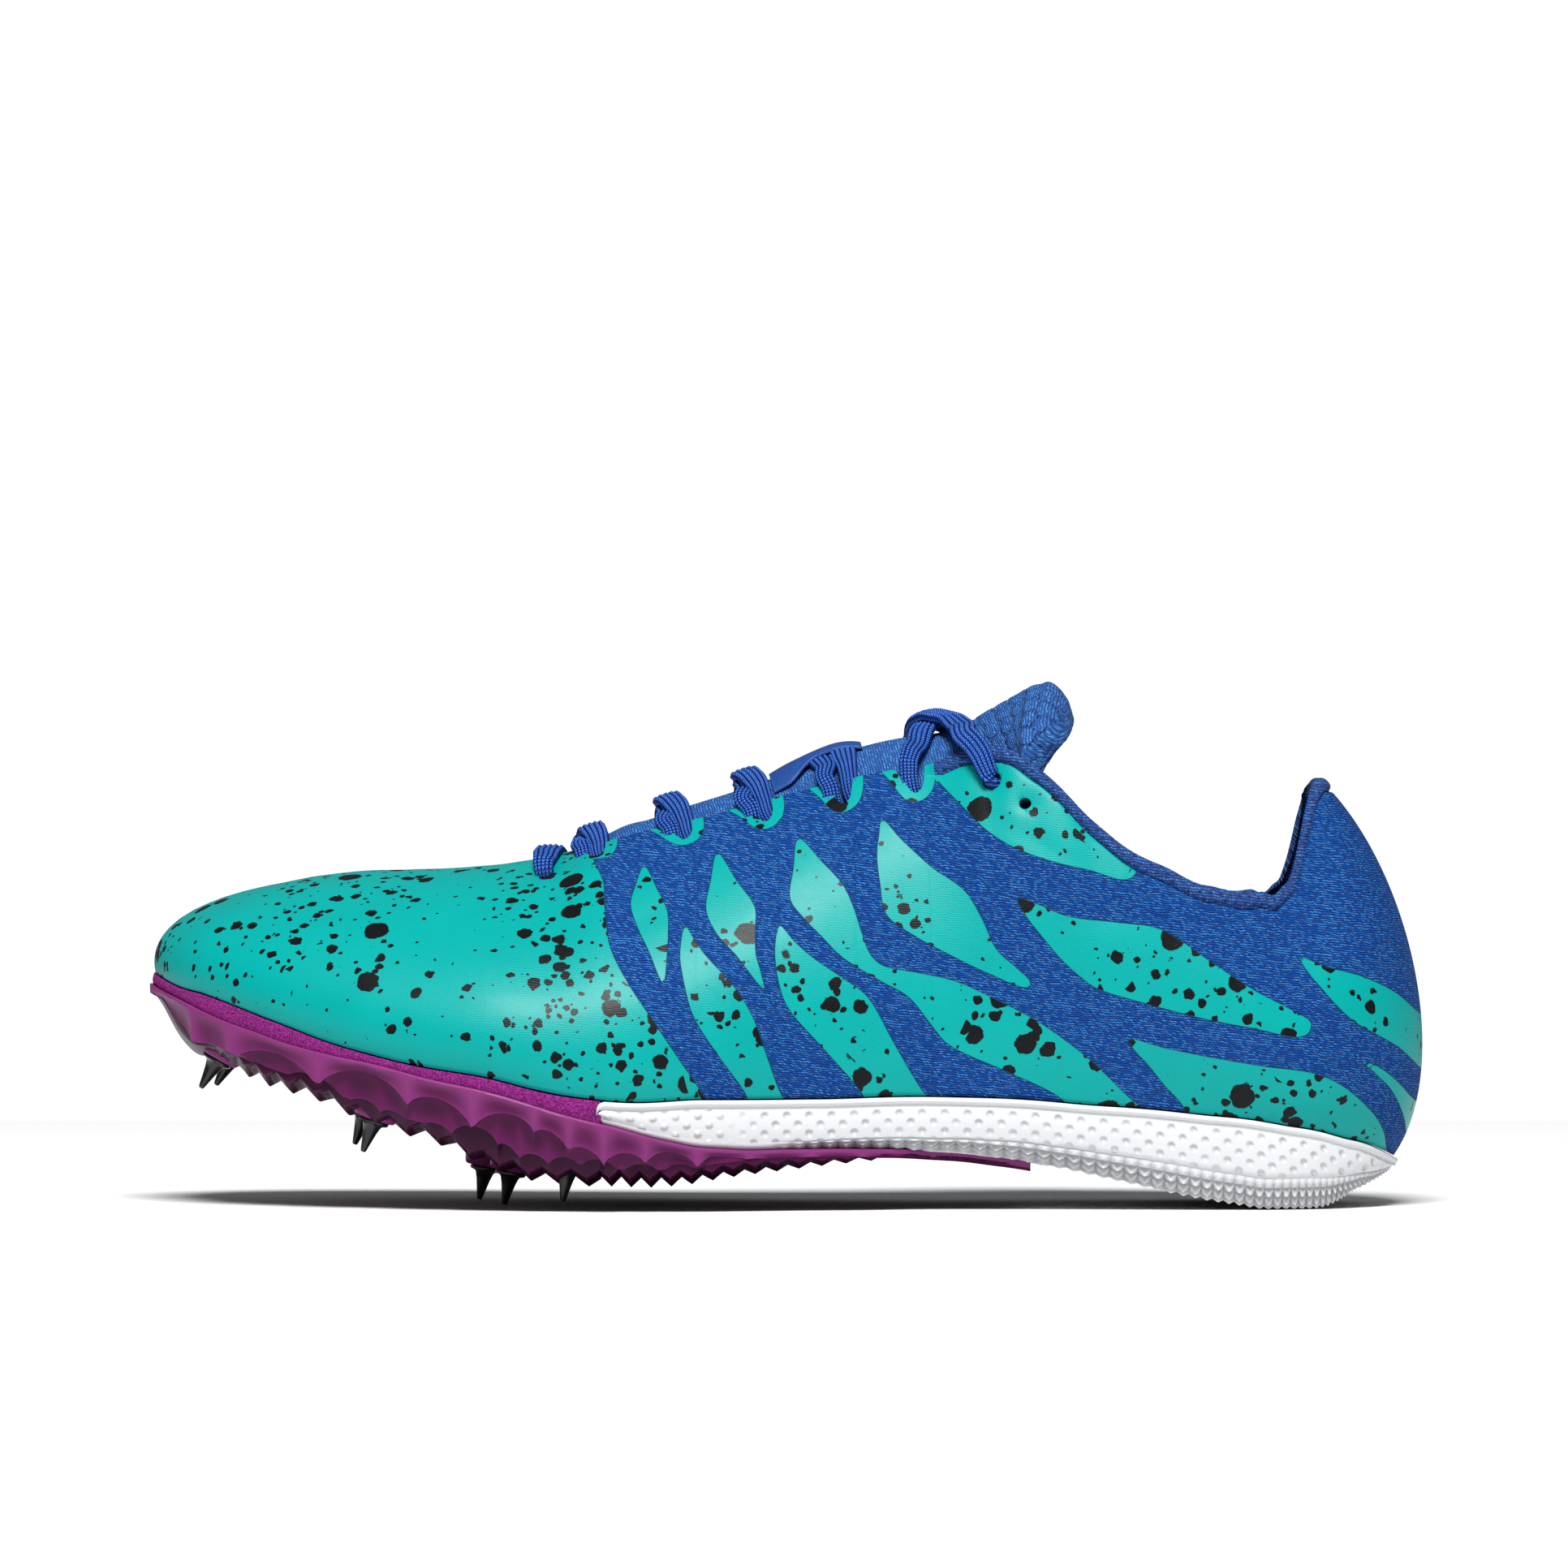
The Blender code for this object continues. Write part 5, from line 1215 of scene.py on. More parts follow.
# Forefoot band
# A magenta felt layer that shows as a fuzzy stripe between the upper and the spike plate.
UNDER = dict(zip(("along", "seam", "plate_low"), np.array([
    (0.000, 0.505, 0.497),
    (0.010, 0.492, 0.460),
    (0.030, 0.468, 0.364),
    (0.054, 0.437, 0.331),
    (0.090, 0.400, 0.275),
    (0.135, 0.360, 0.235),
    (0.185, 0.330, 0.172),
    (0.225, 0.300, 0.142),
    (0.280, 0.265, 0.076),
    (0.335, 0.217, 0.046),
    (0.370, 0.192, 0.043),
    (0.410, 0.160, 0.043),
    (0.455, 0.141, 0.063),
    (0.500, 0.139, 0.080),
    (0.560, 0.139, 0.100),
    (0.615, 0.132, 0.114),
    (0.660, 0.119, 0.104),
    (0.707, 0.096, 0.080),
    (0.748, 0.070, 0.060),
    (0.782, 0.048, 0.040),
    (0.817, 0.026, 0.020),
    (0.852, 0.009, 0.004),
    (0.871, 0.000, 0.000),
    (0.907, 0.000, 0.000),
    (0.934, 0.018, 0.010),
    (0.950, 0.036, 0.020),
    (0.966, 0.058, 0.040),
    (0.981, 0.094, 0.080),
]).T))
BAND_END = 0.3600


def seam_height(x):
    """The height of the line where the upper's layers meet the plate, and of the wedge's floor behind it."""
    return np.maximum(smooth(UNDER["along"], UNDER["seam"], share_of(x)), 0) * INSTEP_HEIGHT


def plate_low(x):
    """The height of the lugs' tips."""
    return smooth(UNDER["along"], UNDER["plate_low"], share_of(x)) * INSTEP_HEIGHT


def make_band():
    """A closed layer from the footbed's dish down to the seam line, its rim rounded and roughened."""
    paint = Paint("felt", (0.45, 0.03, 0.33), Roughness=0.95, Specular_IOR_Level=0.1)
    place = paint.object_place()
    fibre = paint.noise(place, 3200.0, 3.0, 0.7)
    tuft = paint.noise(place, 900.0, 2.0)
    colour = paint.mix(paint.ramp(fibre, 0.35, 0.7), (0.10, 0.005, 0.075), (0.47, 0.045, 0.37))
    paint.set("Base Color", colour)
    fuzz = paint.math("MULTIPLY_ADD", tuft, 0.6, fibre)
    paint.set("Normal", paint.bump(fuzz, 0.0005))
    v = np.linspace(-1, 1, 41)
    side = np.linspace(0, 1, 9)
    bulge = 0.0004 * np.sin(np.pi * side)
    rows = rows_between(0.0, BAND_END, 200)[:, None]
    top = across(rows, 0.0002, v[None])
    low = across(rows, 0.0002, v[None])
    top_z = top[..., 2] - dish(top, v[None]) - GAP
    low_z = seam_height(low[..., 0]) - GAP - dish(low, v[None])
    top[..., 2], low[..., 2] = top_z, low_z
    walls = []
    for edge in (-1.0, 1.0):
        wall = across(rows, 0.0002 + bulge[None], np.full((1, len(side)), edge))
        column = 0 if edge < 0 else -1
        wall[..., 2] = top_z[:, column, None] * (1 - side[None]) + low_z[:, column, None] * side[None]
        walls.append(wall[:, 1:-1])
    ring = np.concatenate([top, walls[1], low[:, ::-1], walls[0][:, ::-1]], axis=1)
    mesh = grid_mesh("felt_band", ring, closed_v=True, caps=True)
    return add_piece("felt_band", mesh, [paint.material], ["forefoot_band"])


band = make_band()

# Spike plate
# A stiff moulded plate of glossy purple plastic under the forefoot and arch. Its sides are carved in tiers of
# hollow scallops with pointed cusps, and its underside is covered with pyramid lugs.
PLATE_LIP = 0.0012
PLATE_BELLY = 0.0036
PLATE_LEAST = 0.0003
PLATE_INSET = 0.0078
PLATE_STEP = (0.3572, 0.3583)
PLATE_END = 0.690
PLATE_FLAT = 0.85
LUG_HEIGHT = 0.0022
# Lugs across the plate, and grid lines to a lug along the plate and across it.
LUG_COLUMNS = 14
LUG_ROWS = 8
LUG_LINES = 4
# The pointed cusps between the arches of both carved tiers, on the side view in millimetres.
CUSPS = (
    np.array([
        (-136.8, 41.2), (-129.7, 34.4), (-121.7, 29.8), (-102.3, 24.8), (-82.6, 21.1), (-68.2, 16.0),
        (-54.6, 15.4), (-47.1, 11.4), (-39.5, 8.3), (-30.3, 8.5), (-18.9, 7.5), (-7.4, 8.2), (5.9, 9.9),
        (17.3, 9.8), (32.4, 11.0), (49.8, 11.0),
    ]),
    np.array([
        (-133.4, 37.1), (-126.1, 32.1), (-118.3, 28.2), (-110.3, 26.4), (-96.1, 21.5), (-88.5, 19.7),
        (-81.2, 15.6), (-73.0, 14.9), (-62.7, 12.8), (-58.0, 9.6), (-51.7, 8.3), (-44.6, 7.8), (-35.8, 6.0),
        (-26.9, 6.0), (-18.9, 6.2), (-11.8, 6.4), (-3.8, 7.5), (4.2, 8.3), (11.3, 9.1), (19.3, 9.6),
        (32.6, 10.6), (49.8, 10.6),
    ]),
)
ARCH_RISE = 0.31
TIER_STEP = 0.0016
BOSS_RADIUS = 0.0048
BOSS_HEIGHT = 0.0055
# Each spike: place along the shoe, aside (inner side positive), tip's height, and lean in degrees.
SPIKE_LENGTH = 0.0064
SPIKES = (
    (0.0440, 0.020, 0.262, 30.0),
    (0.0515, 0.255, 0.262, 30.0),
    (0.1740, -0.215, 0.126, 19.0),
    (0.1600, 0.330, 0.124, 19.0),
    (0.2593, 0.270, 0.000, 11.0),
    (0.2818, -0.030, 0.000, 11.0),
    (0.3293, -0.300, 0.018, 9.0),
)


def plate_under(x, v):
    """The plate's underside without its lugs, which hangs a little deeper in the middle."""
    share = share_of(x)
    thickest = np.interp(share, [0.56, 0.60, 0.64, 0.668, 0.69], [0.02, 0.0022, 0.0012, 0.0004, 0.0003])
    low = np.maximum(plate_low(x) + LUG_HEIGHT * lug_share(share), seam_height(x) - thickest)
    rise = np.minimum(PLATE_BELLY, 0.7 * np.maximum(seam_height(x) - low, 0))
    return np.minimum(low + rise * np.abs(v) ** 1.5, seam_height(x) - PLATE_LEAST)


def lug_share(share):
    """The lugs' height as a share of the full one: full under the ball and low under the arch."""
    return np.interp(share, [0.05, 0.09, 0.40, 0.46, 0.60, 0.64], [0.0, 1.0, 1.0, 0.6, 0.4, 0.0])


def carved_line(cusps, edge):
    """The height of a tier's lower edge at each edge point, and its place in the arch: 0 at cusps, 1 amid."""
    near = VIEW_DISTANCE / (VIEW_DISTANCE - np.abs(edge[..., 1]))
    x = edge[..., 0] * near * 1000
    i = np.clip(np.searchsorted(cusps[:, 0], x) - 1, 0, len(cusps) - 2)
    width = cusps[i + 1, 0] - cusps[i, 0]
    f = np.clip((x - cusps[i, 0]) / width, 0, 1)
    arch = np.clip(1 - (2 * f - 1) ** 2, 0, 1)
    seen = cusps[i, 1] * (1 - f) + cusps[i + 1, 1] * f + ARCH_RISE * width * arch**0.62
    return VIEW_HEIGHT - (VIEW_HEIGHT - seen / 1000) / near, arch


def wave(count, each, offset=0.0):
    """A triangle wave over a run of grid lines, so many to a lug or tooth: 0 between them, 1 at tips."""
    return 1 - np.abs(2 * np.mod(np.arange(count) / each + offset, 1.0) - 1)


def purple_plastic():
    """Translucent plastic, darkened by painted shade on each inner tier, in the arches' hollows and on the
    underside.
    """
    paint = Paint(
        "plate_purple", (0.26, 0.03, 0.19), Roughness=0.40, IOR=1.22, Coat_Weight=0.06, Coat_Roughness=0.15,
        Subsurface_Weight=0.06, Subsurface_Radius=(0.003, 0.0006, 0.002), Subsurface_Scale=1.0,
    )
    place = paint.object_place()
    tier_shade = paint.split(paint.uv("tier_shade"))[0]
    cloud = paint.noise(place, 90.0, 2.0)
    outer = paint.mix(cloud, (0.185, 0.024, 0.135), (0.24, 0.036, 0.18))
    # Painted shade: the colour darkens with the shade value, from the outer tier in to the underside.
    colour = paint.mix(paint.ramp(tier_shade, 0.0, 0.50), outer, (0.105, 0.006, 0.072))
    colour = paint.mix(paint.ramp(tier_shade, 0.45, 0.92), colour, (0.024, 0.001, 0.016))
    paint.set("Base Color", colour)
    paint.set("Normal", paint.bump(paint.noise(place, 500.0, 2.0), 0.00005))
    return paint.material


def plate_side(edge, top_z, under_z, inset, lug):
    """The carved side, from lip to underside: tier by tier, each wall hollowed between its ridges, with the
    painted shade of each level.
    """
    first, first_arch = carved_line(CUSPS[0], edge)
    second, second_arch = carved_line(CUSPS[1], edge)
    floor = under_z - 0.8 * LUG_HEIGHT * lug * lug_share(share_of(edge[:, 0]))
    first = np.clip(first, under_z + 0.0006, top_z - 0.0016)
    second = np.clip(second, under_z + 0.0002, first - 0.0003)
    # Each level: its inward shift, its height, and the painted shade that darkens its colour, deepest in the
    # arches' hollows and on the inner tiers.
    levels = [(0.0004, top_z, 0.0), (0.0001, top_z - 0.00025, 0.0), (0.0, top_z - 0.0006, 0.0)]
    for f in np.linspace(0, 1, 13)[1:]:
        hollow = 0.0017 * first_arch**0.7 * np.sin(0.55 * math.pi * f)
        shade = 0.40 * first_arch * math.sin(0.85 * math.pi * f) + 0.10 * f
        levels.append((0.0004 * f + hollow, (top_z - 0.0006) * (1 - f) + first * f, shade))
    inward = 0.0004 + 0.0016 * first_arch**0.7
    levels.append((inward + 0.6 * TIER_STEP, first + 0.0001, 0.62))
    levels.append((inward + TIER_STEP, first + 0.0002, 0.62))
    for f in np.linspace(0, 1, 10)[1:]:
        hollow = 0.0013 * second_arch**0.7 * np.sin(0.5 * math.pi * f)
        shade = 0.55 - 0.15 * f + 0.20 * second_arch * math.sin(math.pi * f)
        levels.append((inward + TIER_STEP + 0.0004 * f + hollow, first * (1 - f) + second * f, shade))
    inward = inward + TIER_STEP + 0.0004 + 0.0013 * second_arch**0.7
    levels.append((inward + 0.6 * TIER_STEP, second + 0.0001, 0.9))
    levels.append((inward + TIER_STEP, second + 0.0002, 0.9))
    for f in np.linspace(0, 1, 6)[1:]:
        levels.append((inward + TIER_STEP + 0.0010 * f, second * (1 - f) + floor * f, 0.85 - 0.1 * f))
    # The third list, depth, is the painted shade of each level.
    shift, height, depth = (
        np.stack([np.broadcast_to(level, top_z.shape) for level in column], axis=1) for column in zip(*levels)
    )
    shift = np.minimum(shift, inset[:, None]) * (inset[:, None] / np.maximum(shift[:, -1:], inset[:, None]))
    return shift, height, depth


def placed_on_spike(local, spike):
    """Points about a spike's own axis, leaned and moved to where its tip stands."""
    along, aside, tip, tilt = spike
    a = math.radians(tilt)
    lean = np.array([[math.cos(a), 0, math.sin(a)], [0, 1, 0], [-math.sin(a), 0, math.cos(a)]])
    foot = np.array([x_of(along), aside * BALL_WIDTH, tip * INSTEP_HEIGHT + 0.0006 * math.sin(a)])
    return local @ lean.T + foot


def make_bosses():
    """A short frustum for each spike, from its flange up into the plate."""
    turn = np.linspace(0, 2 * math.pi, 32, endpoint=False)
    radius = np.array([0.0001, 0.0042, 0.0046, BOSS_RADIUS, 0.0052, 0.0001])[:, None]
    height = np.array([0.0, 0.0, 0.0003, 0.0010, BOSS_HEIGHT, BOSS_HEIGHT])[:, None] + SPIKE_LENGTH + 0.0011
    local = np.stack([radius * np.cos(turn), radius * np.sin(turn), height + 0 * turn], axis=-1)
    return [grid_mesh("boss", placed_on_spike(local, spike), closed_v=True, caps=True) for spike in SPIKES]


def make_plate():
    """A loop across the plate for every place along it: top, carved side, lugged underside and back up."""
    front = rows_between(-0.002, PLATE_STEP[0], 21 * LUG_ROWS)
    rear = rows_between(PLATE_STEP[1], PLATE_END, 19 * LUG_ROWS)
    rows = np.concatenate([front, rear])[:, None]
    lug = wave(len(rows), LUG_ROWS)
    v = np.linspace(-1, 1, 21)
    tuck = -0.0060 * np.clip((share_of(across(rows, 0.0, np.zeros((1, 1)))[..., 0]) - 0.56) / 0.06, 0, 1)
    top = across(rows, tuck + PLATE_LIP - 0.0004, v[None])
    seam = seam_height(top[..., 0]) + 0.0001
    top[..., 2] = seam - np.where(rows <= front[-1], dish(top, v[None]), 0)
    middle_x = top[:, 10, 0]
    sides = []
    side_shades = []
    for edge, column in ((-1.0, 0), (1.0, -1)):
        under = plate_under(middle_x, PLATE_FLAT) + 0.0001
        top_z = top[:, column, 2]
        depth = np.maximum(top_z - under, 0.0003)
        inset = np.minimum(PLATE_INSET, 0.8 * depth)
        shift, height, shade = plate_side(top[:, column], top_z, top_z - depth, inset, lug)
        wall = across(rows, tuck + PLATE_LIP - shift, np.full((1, shift.shape[1]), edge))
        wall[..., 2] = height
        sides.append(wall)
        side_shades.append(shade)
    depth = np.maximum(top[:, :1, 2] - plate_under(middle_x, PLATE_FLAT)[:, None], 0.0003)
    w = np.linspace(0.985, -0.985, LUG_COLUMNS * LUG_LINES + 1)
    bottom = across(rows, tuck + PLATE_LIP - np.minimum(PLATE_INSET, 0.8 * depth), w[None])
    pyramid = np.minimum(lug[:, None], wave(len(w), LUG_LINES)[None]) * lug_share(share_of(bottom[..., 0]))
    bottom[..., 2] = plate_under(bottom[..., 0], PLATE_FLAT * w[None]) - LUG_HEIGHT * pyramid
    ring = np.concatenate([top, sides[1], bottom, sides[0][:, ::-1]], axis=1)
    # The painted shade round the loop: none on top, the sides' levels, and dark on the lugged underside.
    top_shade, underside_shade = np.zeros(top.shape[:2]), np.full(bottom.shape[:2], 0.9)
    tier_shade = np.concatenate([top_shade, side_shades[1], underside_shade, side_shades[0][:, ::-1]], axis=1)
    maps = {"tier_shade": np.stack([tier_shade, 0 * tier_shade], axis=-1)}
    plate_mesh = grid_mesh("plate", ring, closed_v=True, caps=True, maps=maps)
    mesh = join_meshes("plate_moulding", [plate_mesh, *make_bosses()])
    mesh.set_sharp_from_angle(angle=math.radians(38))
    return add_piece("plate_moulding", mesh, [purple_plastic()], ["spike_plate"])


plate = make_plate()

# Heel wedge
# A white injected foam wedge, glued under arch and heel: a smooth lip at the top, a dimpled side, and a tread
# of small teeth that wraps round its lower corner.
WEDGE_START = 0.3595
WEDGE_END = 0.974
WEDGE_FRONT_ROUND = 0.0020
DIMPLE_PITCH = 0.0049
DIMPLE_ROW = 0.00195
TOOTH_HEIGHT = 0.0018
TEETH_ALONG = 71
TEETH_DOWN = 4
TEETH_ACROSS = 32
TOOTH_LINES = 4
# The tread's rounded lower corner: place along the shoe and radius in millimetres.
CORNER = np.array([
    (0.36, 1.2), (0.52, 2.0), (0.62, 3.4), (0.72, 5.6), (0.80, 7.4), (0.92, 7.8), (0.975, 5.0)
])


def white_foam():
    """White foam: staggered round dimples on its side, each darkened by a little painted shade, bumps at the
    front end, and painted shade between the teeth.
    """
    paint = Paint(
        "wedge_foam", (0.84, 0.85, 0.86), Roughness=0.5, Coat_Weight=0.08, Coat_Roughness=0.3,
        Subsurface_Weight=0.04, Subsurface_Radius=(0.0015, 0.0015, 0.0015), Subsurface_Scale=1.0,
    )
    place = paint.object_place()
    cloud = paint.noise(place, 60.0, 2.0)
    run, down, _ = paint.split(paint.uv("side"))
    row = paint.math("DIVIDE", paint.math("SUBTRACT", down, 0.0024), DIMPLE_ROW)
    shift = paint.math("MULTIPLY", paint.math("MODULO", paint.math("FLOOR", row), 2.0), 0.5)
    column = paint.math("MULTIPLY_ADD", run, 1 / DIMPLE_PITCH, shift)
    dx = paint.math("MULTIPLY", paint.centred(column), DIMPLE_PITCH * 1000)
    dz = paint.math("MULTIPLY", paint.centred(row), DIMPLE_ROW * 1100)
    dimple = paint.ramp(paint.length(dx, dz), 0.0, 1.15, 1.0, 0.0)
    dimple = paint.math("MULTIPLY", dimple, paint.math("MULTIPLY_ADD", paint.noise(place, 240.0), 1.2, 0.4))
    on_panel, valley, _ = paint.split(paint.uv("panel"))
    dimple = paint.math("MULTIPLY", dimple, paint.math("GREATER_THAN", on_panel, 0.5))
    front = paint.ramp(run, 0.024, 0.036, 1.0, -1.0)
    height = paint.math("MULTIPLY", dimple, front)
    shade = paint.math("MULTIPLY", dimple, 0.16)
    colour = paint.mix(cloud, (0.61, 0.62, 0.64), (0.67, 0.68, 0.69))
    colour = paint.mix(shade, colour, (0.36, 0.38, 0.41))
    # Painted shade: the colour is darkened in the valleys between the teeth.
    paint.set("Base Color", paint.mix(paint.math("MULTIPLY", valley, 0.75), colour, (0.14, 0.145, 0.155)))
    fine = paint.bump(paint.noise(place, 1600.0, 2.0), 0.00005)
    paint.set("Normal", paint.bump(height, 0.00055, after=fine))
    return paint.material


def wedge_side(rows, edge, top_z, body, along_tooth):
    """One side from the lip down round the corner: place, and the texture's run, drop and panel mark, and the
    painted shade between its teeth.
    """
    share = share_of(across(rows, 0.0, np.array([[edge]]))[..., 0])
    corner = np.minimum(np.interp(share, CORNER[:, 0], CORNER[:, 1] / 1000), 0.45 * body)
    reach = np.minimum(corner, 0.0046)
    lip_down = np.array([0.0, 0.10, 0.28, 0.55, 0.85, 1.10, 1.30, 1.42, 1.50, 1.75]) / 1000
    lip_out = np.array([0.60, 0.88, 1.06, 1.20, 1.20, 1.08, 0.85, 0.62, 0.52, 0.48]) / 1000
    lip_out = np.tile(lip_out, (len(rows), 1))
    flat = np.linspace(0, 1, 15)[None, 1:]
    panel_down = lip_down[-1] + (body - corner - lip_down[-1]) * flat
    panel_out = lip_out[:, -1:] + 0.0005 * np.sin(math.pi * flat) - 0.0003 * flat
    angle = np.linspace(0, math.pi / 2, TEETH_DOWN * TOOTH_LINES + 1)[None, 1:]
    tooth = np.minimum(along_tooth, wave(TEETH_DOWN * TOOTH_LINES, TOOTH_LINES)[None])
    toothed = np.clip((share - 0.49) / 0.03, 0, 1)
    deep = TOOTH_HEIGHT * np.clip(corner / 0.0035, 0.6, 1) * (1 - tooth)
    deep = deep * toothed * np.sin(angle * 2).clip(0.35, 1)
    turn_down = body - corner + (corner - deep) * np.sin(angle)
    turn_out = panel_out[:, -1:] - reach * (1 - np.cos(angle)) - deep * np.cos(angle)
    down = np.concatenate([np.broadcast_to(lip_down[None], lip_out.shape), panel_down, turn_down], axis=1)
    out = np.concatenate([lip_out, panel_out, turn_out], axis=1)
    wall = across(rows, out, np.full(down.shape, edge))
    wall[..., 2] = top_z - down
    panel = np.zeros(down.shape)
    panel[:, len(lip_down):len(lip_down) + flat.shape[1]] = 1.0
    # The painted shade in the valleys between the teeth, where the corner turns under.
    valley = np.zeros(down.shape)
    valley[:, -tooth.shape[1]:] = (1 - tooth) * toothed * np.clip(angle, 0, 1)
    return wall, down, panel, valley


def make_wedge():
    """A loop across the wedge for every place along it: top, lip and side, then the tread and back up."""
    rows = rows_between(WEDGE_START - 0.003, WEDGE_END, TEETH_ALONG * TOOTH_LINES + 1)[:, None]
    rows[1:4] = rows[0] + (rows[4] - rows[0]) * np.array([[0.08], [0.25], [0.55]])
    along_tooth = wave(len(rows), TOOTH_LINES)[:, None]
    v = np.linspace(-1, 1, 13)
    top = across(rows, 0.0006, v[None])
    run = run_along(top[:, 0])[:, None]
    round_front = round_off(run, WEDGE_FRONT_ROUND)
    top[..., 2] -= dish(top, v[None]) + GAP + WEDGE_FRONT_ROUND * (1 - round_front)
    middle = top[:, 6:7, 0]
    floor = seam_height(middle) + WEDGE_FRONT_ROUND * (1 - round_front)
    body = np.maximum(top[:, :1, 2] - floor, 0.0030)
    sides = [
        wedge_side(rows, edge, top[:, column:column + 1, 2], body, along_tooth)
        for edge, column in ((-1.0, 0), (1.0, 12))
    ]
    w = np.linspace(1, -1, TEETH_ACROSS * 2 + 1)[None, 1:-1]
    low_outer, low_inner = sides[0][0][:, -1:], sides[1][0][:, -1:]
    tread = low_inner * (1 + w[..., None]) / 2 + low_outer * (1 - w[..., None]) / 2
    tooth = np.minimum(along_tooth, wave(w.shape[1], 2, 0.5)[None])
    toothed = np.clip((share_of(tread[..., 0]) - 0.70) / 0.03, 0, 1)
    groove = np.exp(-((tread[..., 1] / 0.006) ** 2)) * np.clip((0.80 - share_of(tread[..., 0])) / 0.03, 0, 1)
    tread[..., 2] = floor + (TOOTH_HEIGHT * (1 - tooth) + 0.0016 * groove) * toothed
    ring = np.concatenate([top, sides[1][0], tread, sides[0][0][:, ::-1]], axis=1)
    run_grid = np.broadcast_to(run, ring.shape[:2])
    blank, smooth_tread = np.zeros(top.shape[:2]), np.zeros(tread.shape[:2])
    # The panel map's second channel is the painted shade in the valleys between the teeth, round the corner
    # and on the tread.
    down, panel, valley = (
        np.concatenate([blank, sides[1][k], below, sides[0][k][:, ::-1]], axis=1)
        for k, below in ((1, smooth_tread), (2, smooth_tread), (3, (1 - tooth) * toothed))
    )
    maps = {"side": np.stack([run_grid, down], axis=-1), "panel": np.stack([panel, valley], axis=-1)}
    mesh = grid_mesh("wedge_moulding", ring, closed_v=True, caps=True, maps=maps)
    mesh.set_sharp_from_angle(angle=math.radians(40))
    return add_piece("wedge_moulding", mesh, [white_foam()], ["heel_wedge"])


wedge = make_wedge()

# Spikes
# Seven short pins of blackened metal, each with a thin flange against its boss, screwed into the plate and
# leaning forward. The table is the turned profile's radius and height above the tip, in millimetres.
SPIKE_PROFILE = np.array([
    (0.02, 0.00), (0.35, 0.02), (0.56, 0.16), (0.68, 0.6), (1.10, 2.6), (1.55, 4.6), (1.95, 5.9),
    (2.25, 6.35), (3.00, 6.55), (3.32, 6.75), (3.38, 7.0), (3.30, 7.3), (3.00, 7.5), (2.90, 7.9),
    (0.02, 7.95),
]) / 1000


def make_spikes():
    """Each spike turns its profile about the pin's axis, with four shallow flats, and leans it forward."""
    paint = Paint("spike_black", (0.012, 0.012, 0.014), Roughness=0.3, Metallic=0.35, Coat_Weight=0.3)
    paint.set("Normal", paint.bump(paint.noise(paint.object_place(), 1500.0, 2.0), 0.00004))
    turn = np.linspace(0, 2 * math.pi, 40, endpoint=False)
    radius, height = SPIKE_PROFILE.T
    cone = (height < 0.0062)[:, None]
    flats = 1 - 0.10 * cone * (0.5 - 0.5 * np.cos(4 * turn))[None]
    wide = radius[:, None] * flats
    local = np.stack([wide * np.cos(turn), wide * np.sin(turn), height[:, None] + 0 * turn], axis=-1)
    places = [placed_on_spike(local, spike)[:, ::-1] for spike in SPIKES]
    pins = [grid_mesh("pin", points, closed_v=True, caps=True) for points in places]
    mesh = join_meshes("spike_pins", pins, turn_outward=True)
    mesh.set_sharp_from_angle(angle=math.radians(40))
    return add_piece("spike_pins", mesh, [paint.material], [f"spike_{i}" for i in range(1, 8)])


spikes = make_spikes()

# Studio
# A pale floor with white all round it, one broad light high in front of the shoe, and the side view's camera.
PICTURE_PIXELS = 1932
METRES_A_PIXEL = 0.0001775
SENSOR_WIDTH = 36
WORLD_TO_SHOE = 0.13
WORLD_TO_CAMERA = 1.05


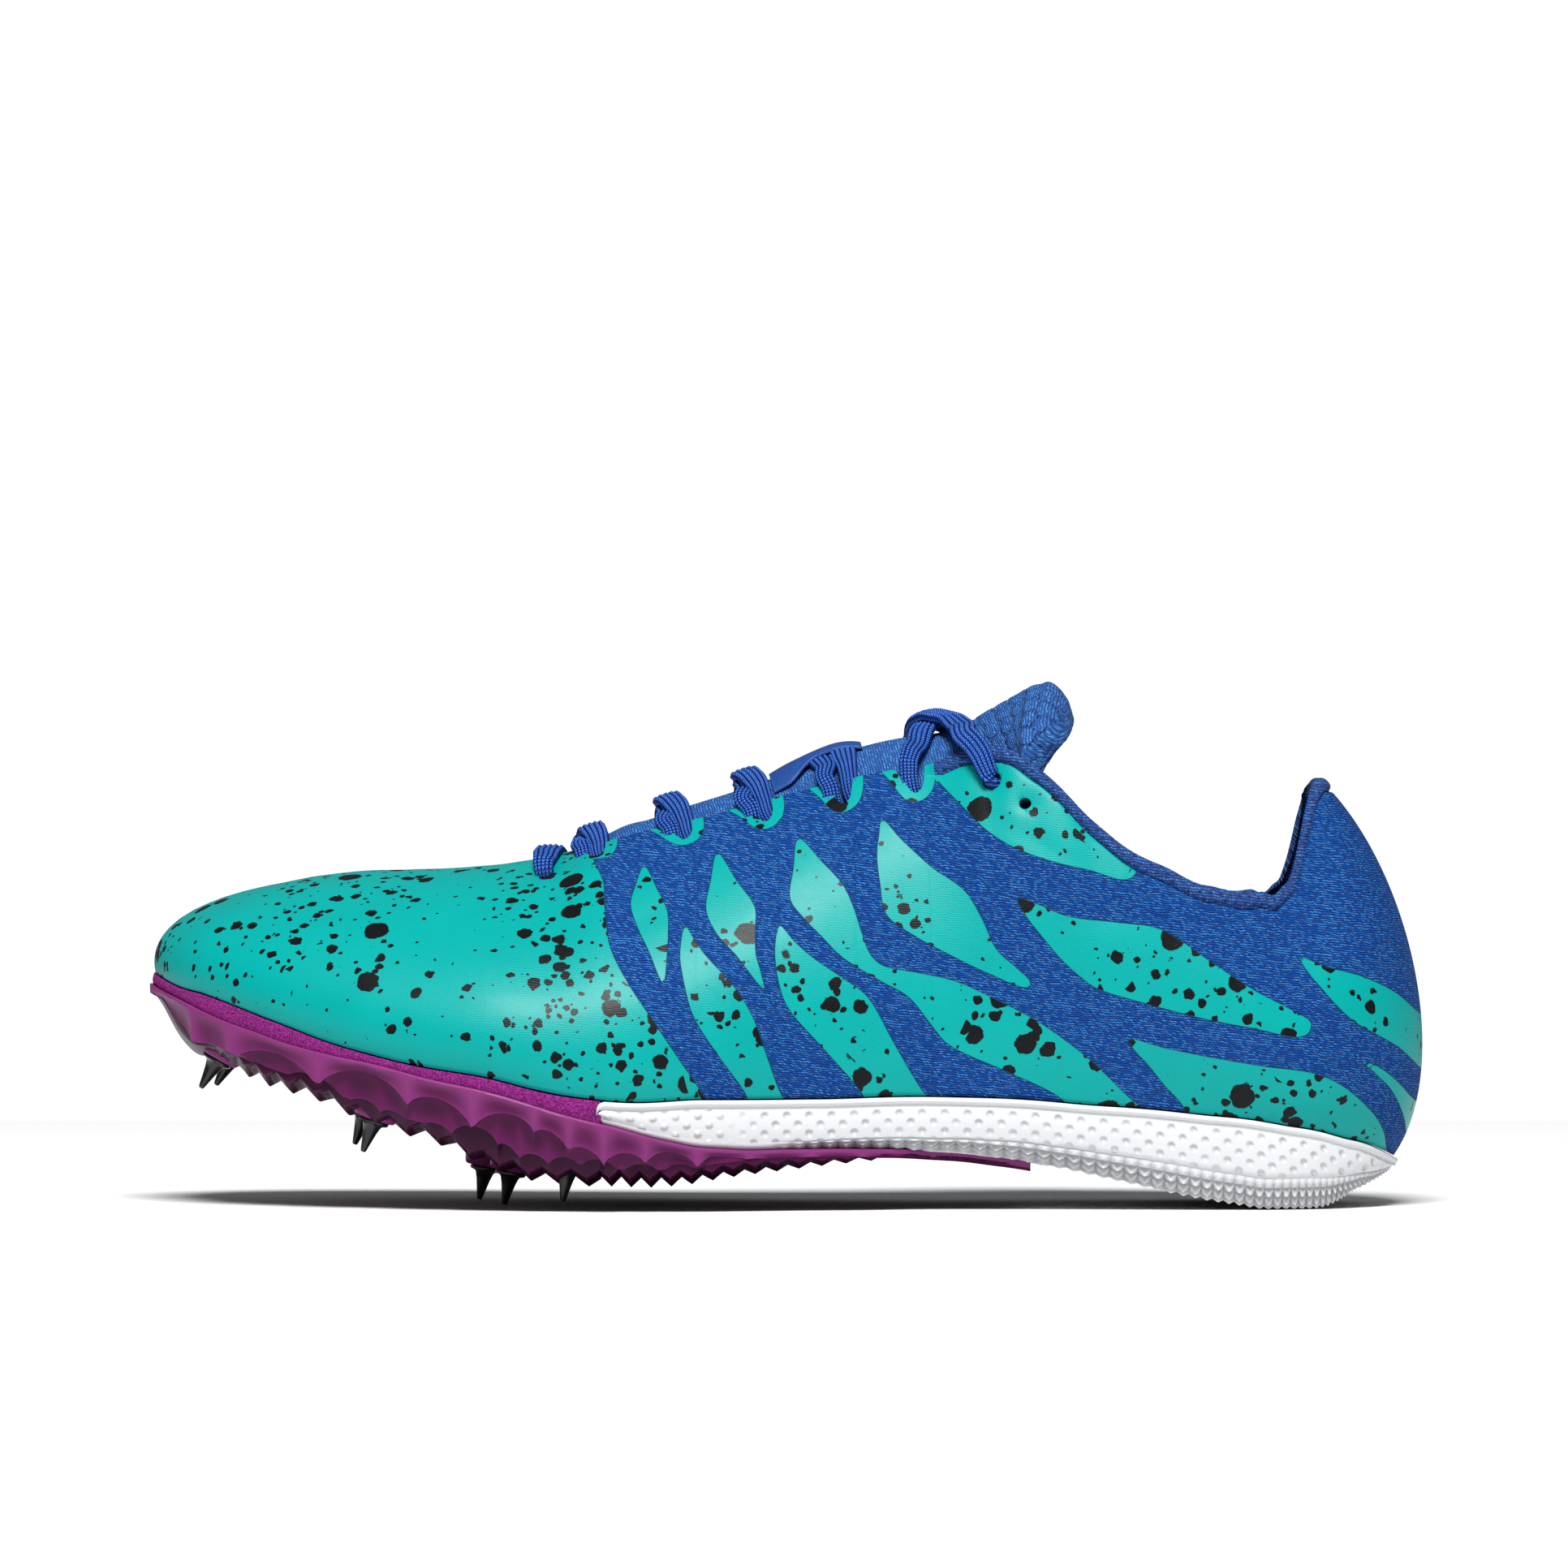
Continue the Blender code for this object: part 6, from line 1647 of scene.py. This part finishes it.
def studio_light(name, place, target, size, power):
    """A rectangular area light at a place, turned to its target."""
    data = bpy.data.lights.new(name, "AREA")
    data.shape = "RECTANGLE"
    data.size, data.size_y = size
    data.energy = power
    light = bpy.data.objects.new(name, data)
    way = np.array(target) - np.array(place)
    light.location = place
    light.rotation_mode = "QUATERNION"
    light.rotation_quaternion = Vector(way).to_track_quat("-Z", "Y")
    bpy.context.scene.collection.objects.link(light)
    return light


def make_floor():
    """A plain square in a pale matte finish."""
    mesh = bpy.data.meshes.new("floor")
    mesh.from_pydata([(-0.9, -1.2, 0), (0.9, -1.2, 0), (0.9, 0.55, 0), (-0.9, 0.55, 0)], [], [(0, 1, 2, 3)])
    floor = bpy.data.objects.new("floor", mesh)
    bpy.context.scene.collection.objects.link(floor)
    mesh.materials.append(Paint("floor_paint", (0.95, 0.95, 0.95), Roughness=0.9).material)


def make_surroundings():
    """White to the camera, but a weak light on the shoe, so that its shadow stays deep."""
    world = bpy.data.worlds.new("studio")
    bpy.context.scene.world = world
    world.use_nodes = True
    nodes = world.node_tree.nodes
    nodes["Background"].inputs["Color"].default_value = (1.0, 1.0, 1.0, 1)
    strength = nodes.new("ShaderNodeMapRange")
    strength.inputs["To Min"].default_value = WORLD_TO_SHOE
    strength.inputs["To Max"].default_value = WORLD_TO_CAMERA
    path = nodes.new("ShaderNodeLightPath")
    world.node_tree.links.new(path.outputs["Is Camera Ray"], strength.inputs["Value"])
    world.node_tree.links.new(strength.outputs["Result"], nodes["Background"].inputs["Strength"])


make_floor()
make_surroundings()
studio_light("overhead", (0.0, -2.5, 3.7), (0, 0, 0.05), (1.7, 1.3), 285)
bpy.context.scene.view_settings.view_transform = "Standard"
camera_data = bpy.data.cameras.new("side_camera")
camera_data.sensor_width = SENSOR_WIDTH
camera_data.lens = SENSOR_WIDTH * VIEW_DISTANCE / (PICTURE_PIXELS * METRES_A_PIXEL)
camera_data.clip_end = 50
camera = bpy.data.objects.new("side_camera", camera_data)
camera.location = (0, -VIEW_DISTANCE, VIEW_HEIGHT)
camera.rotation_euler = (math.pi / 2, 0, 0)
bpy.context.scene.collection.objects.link(camera)
bpy.context.scene.camera = camera
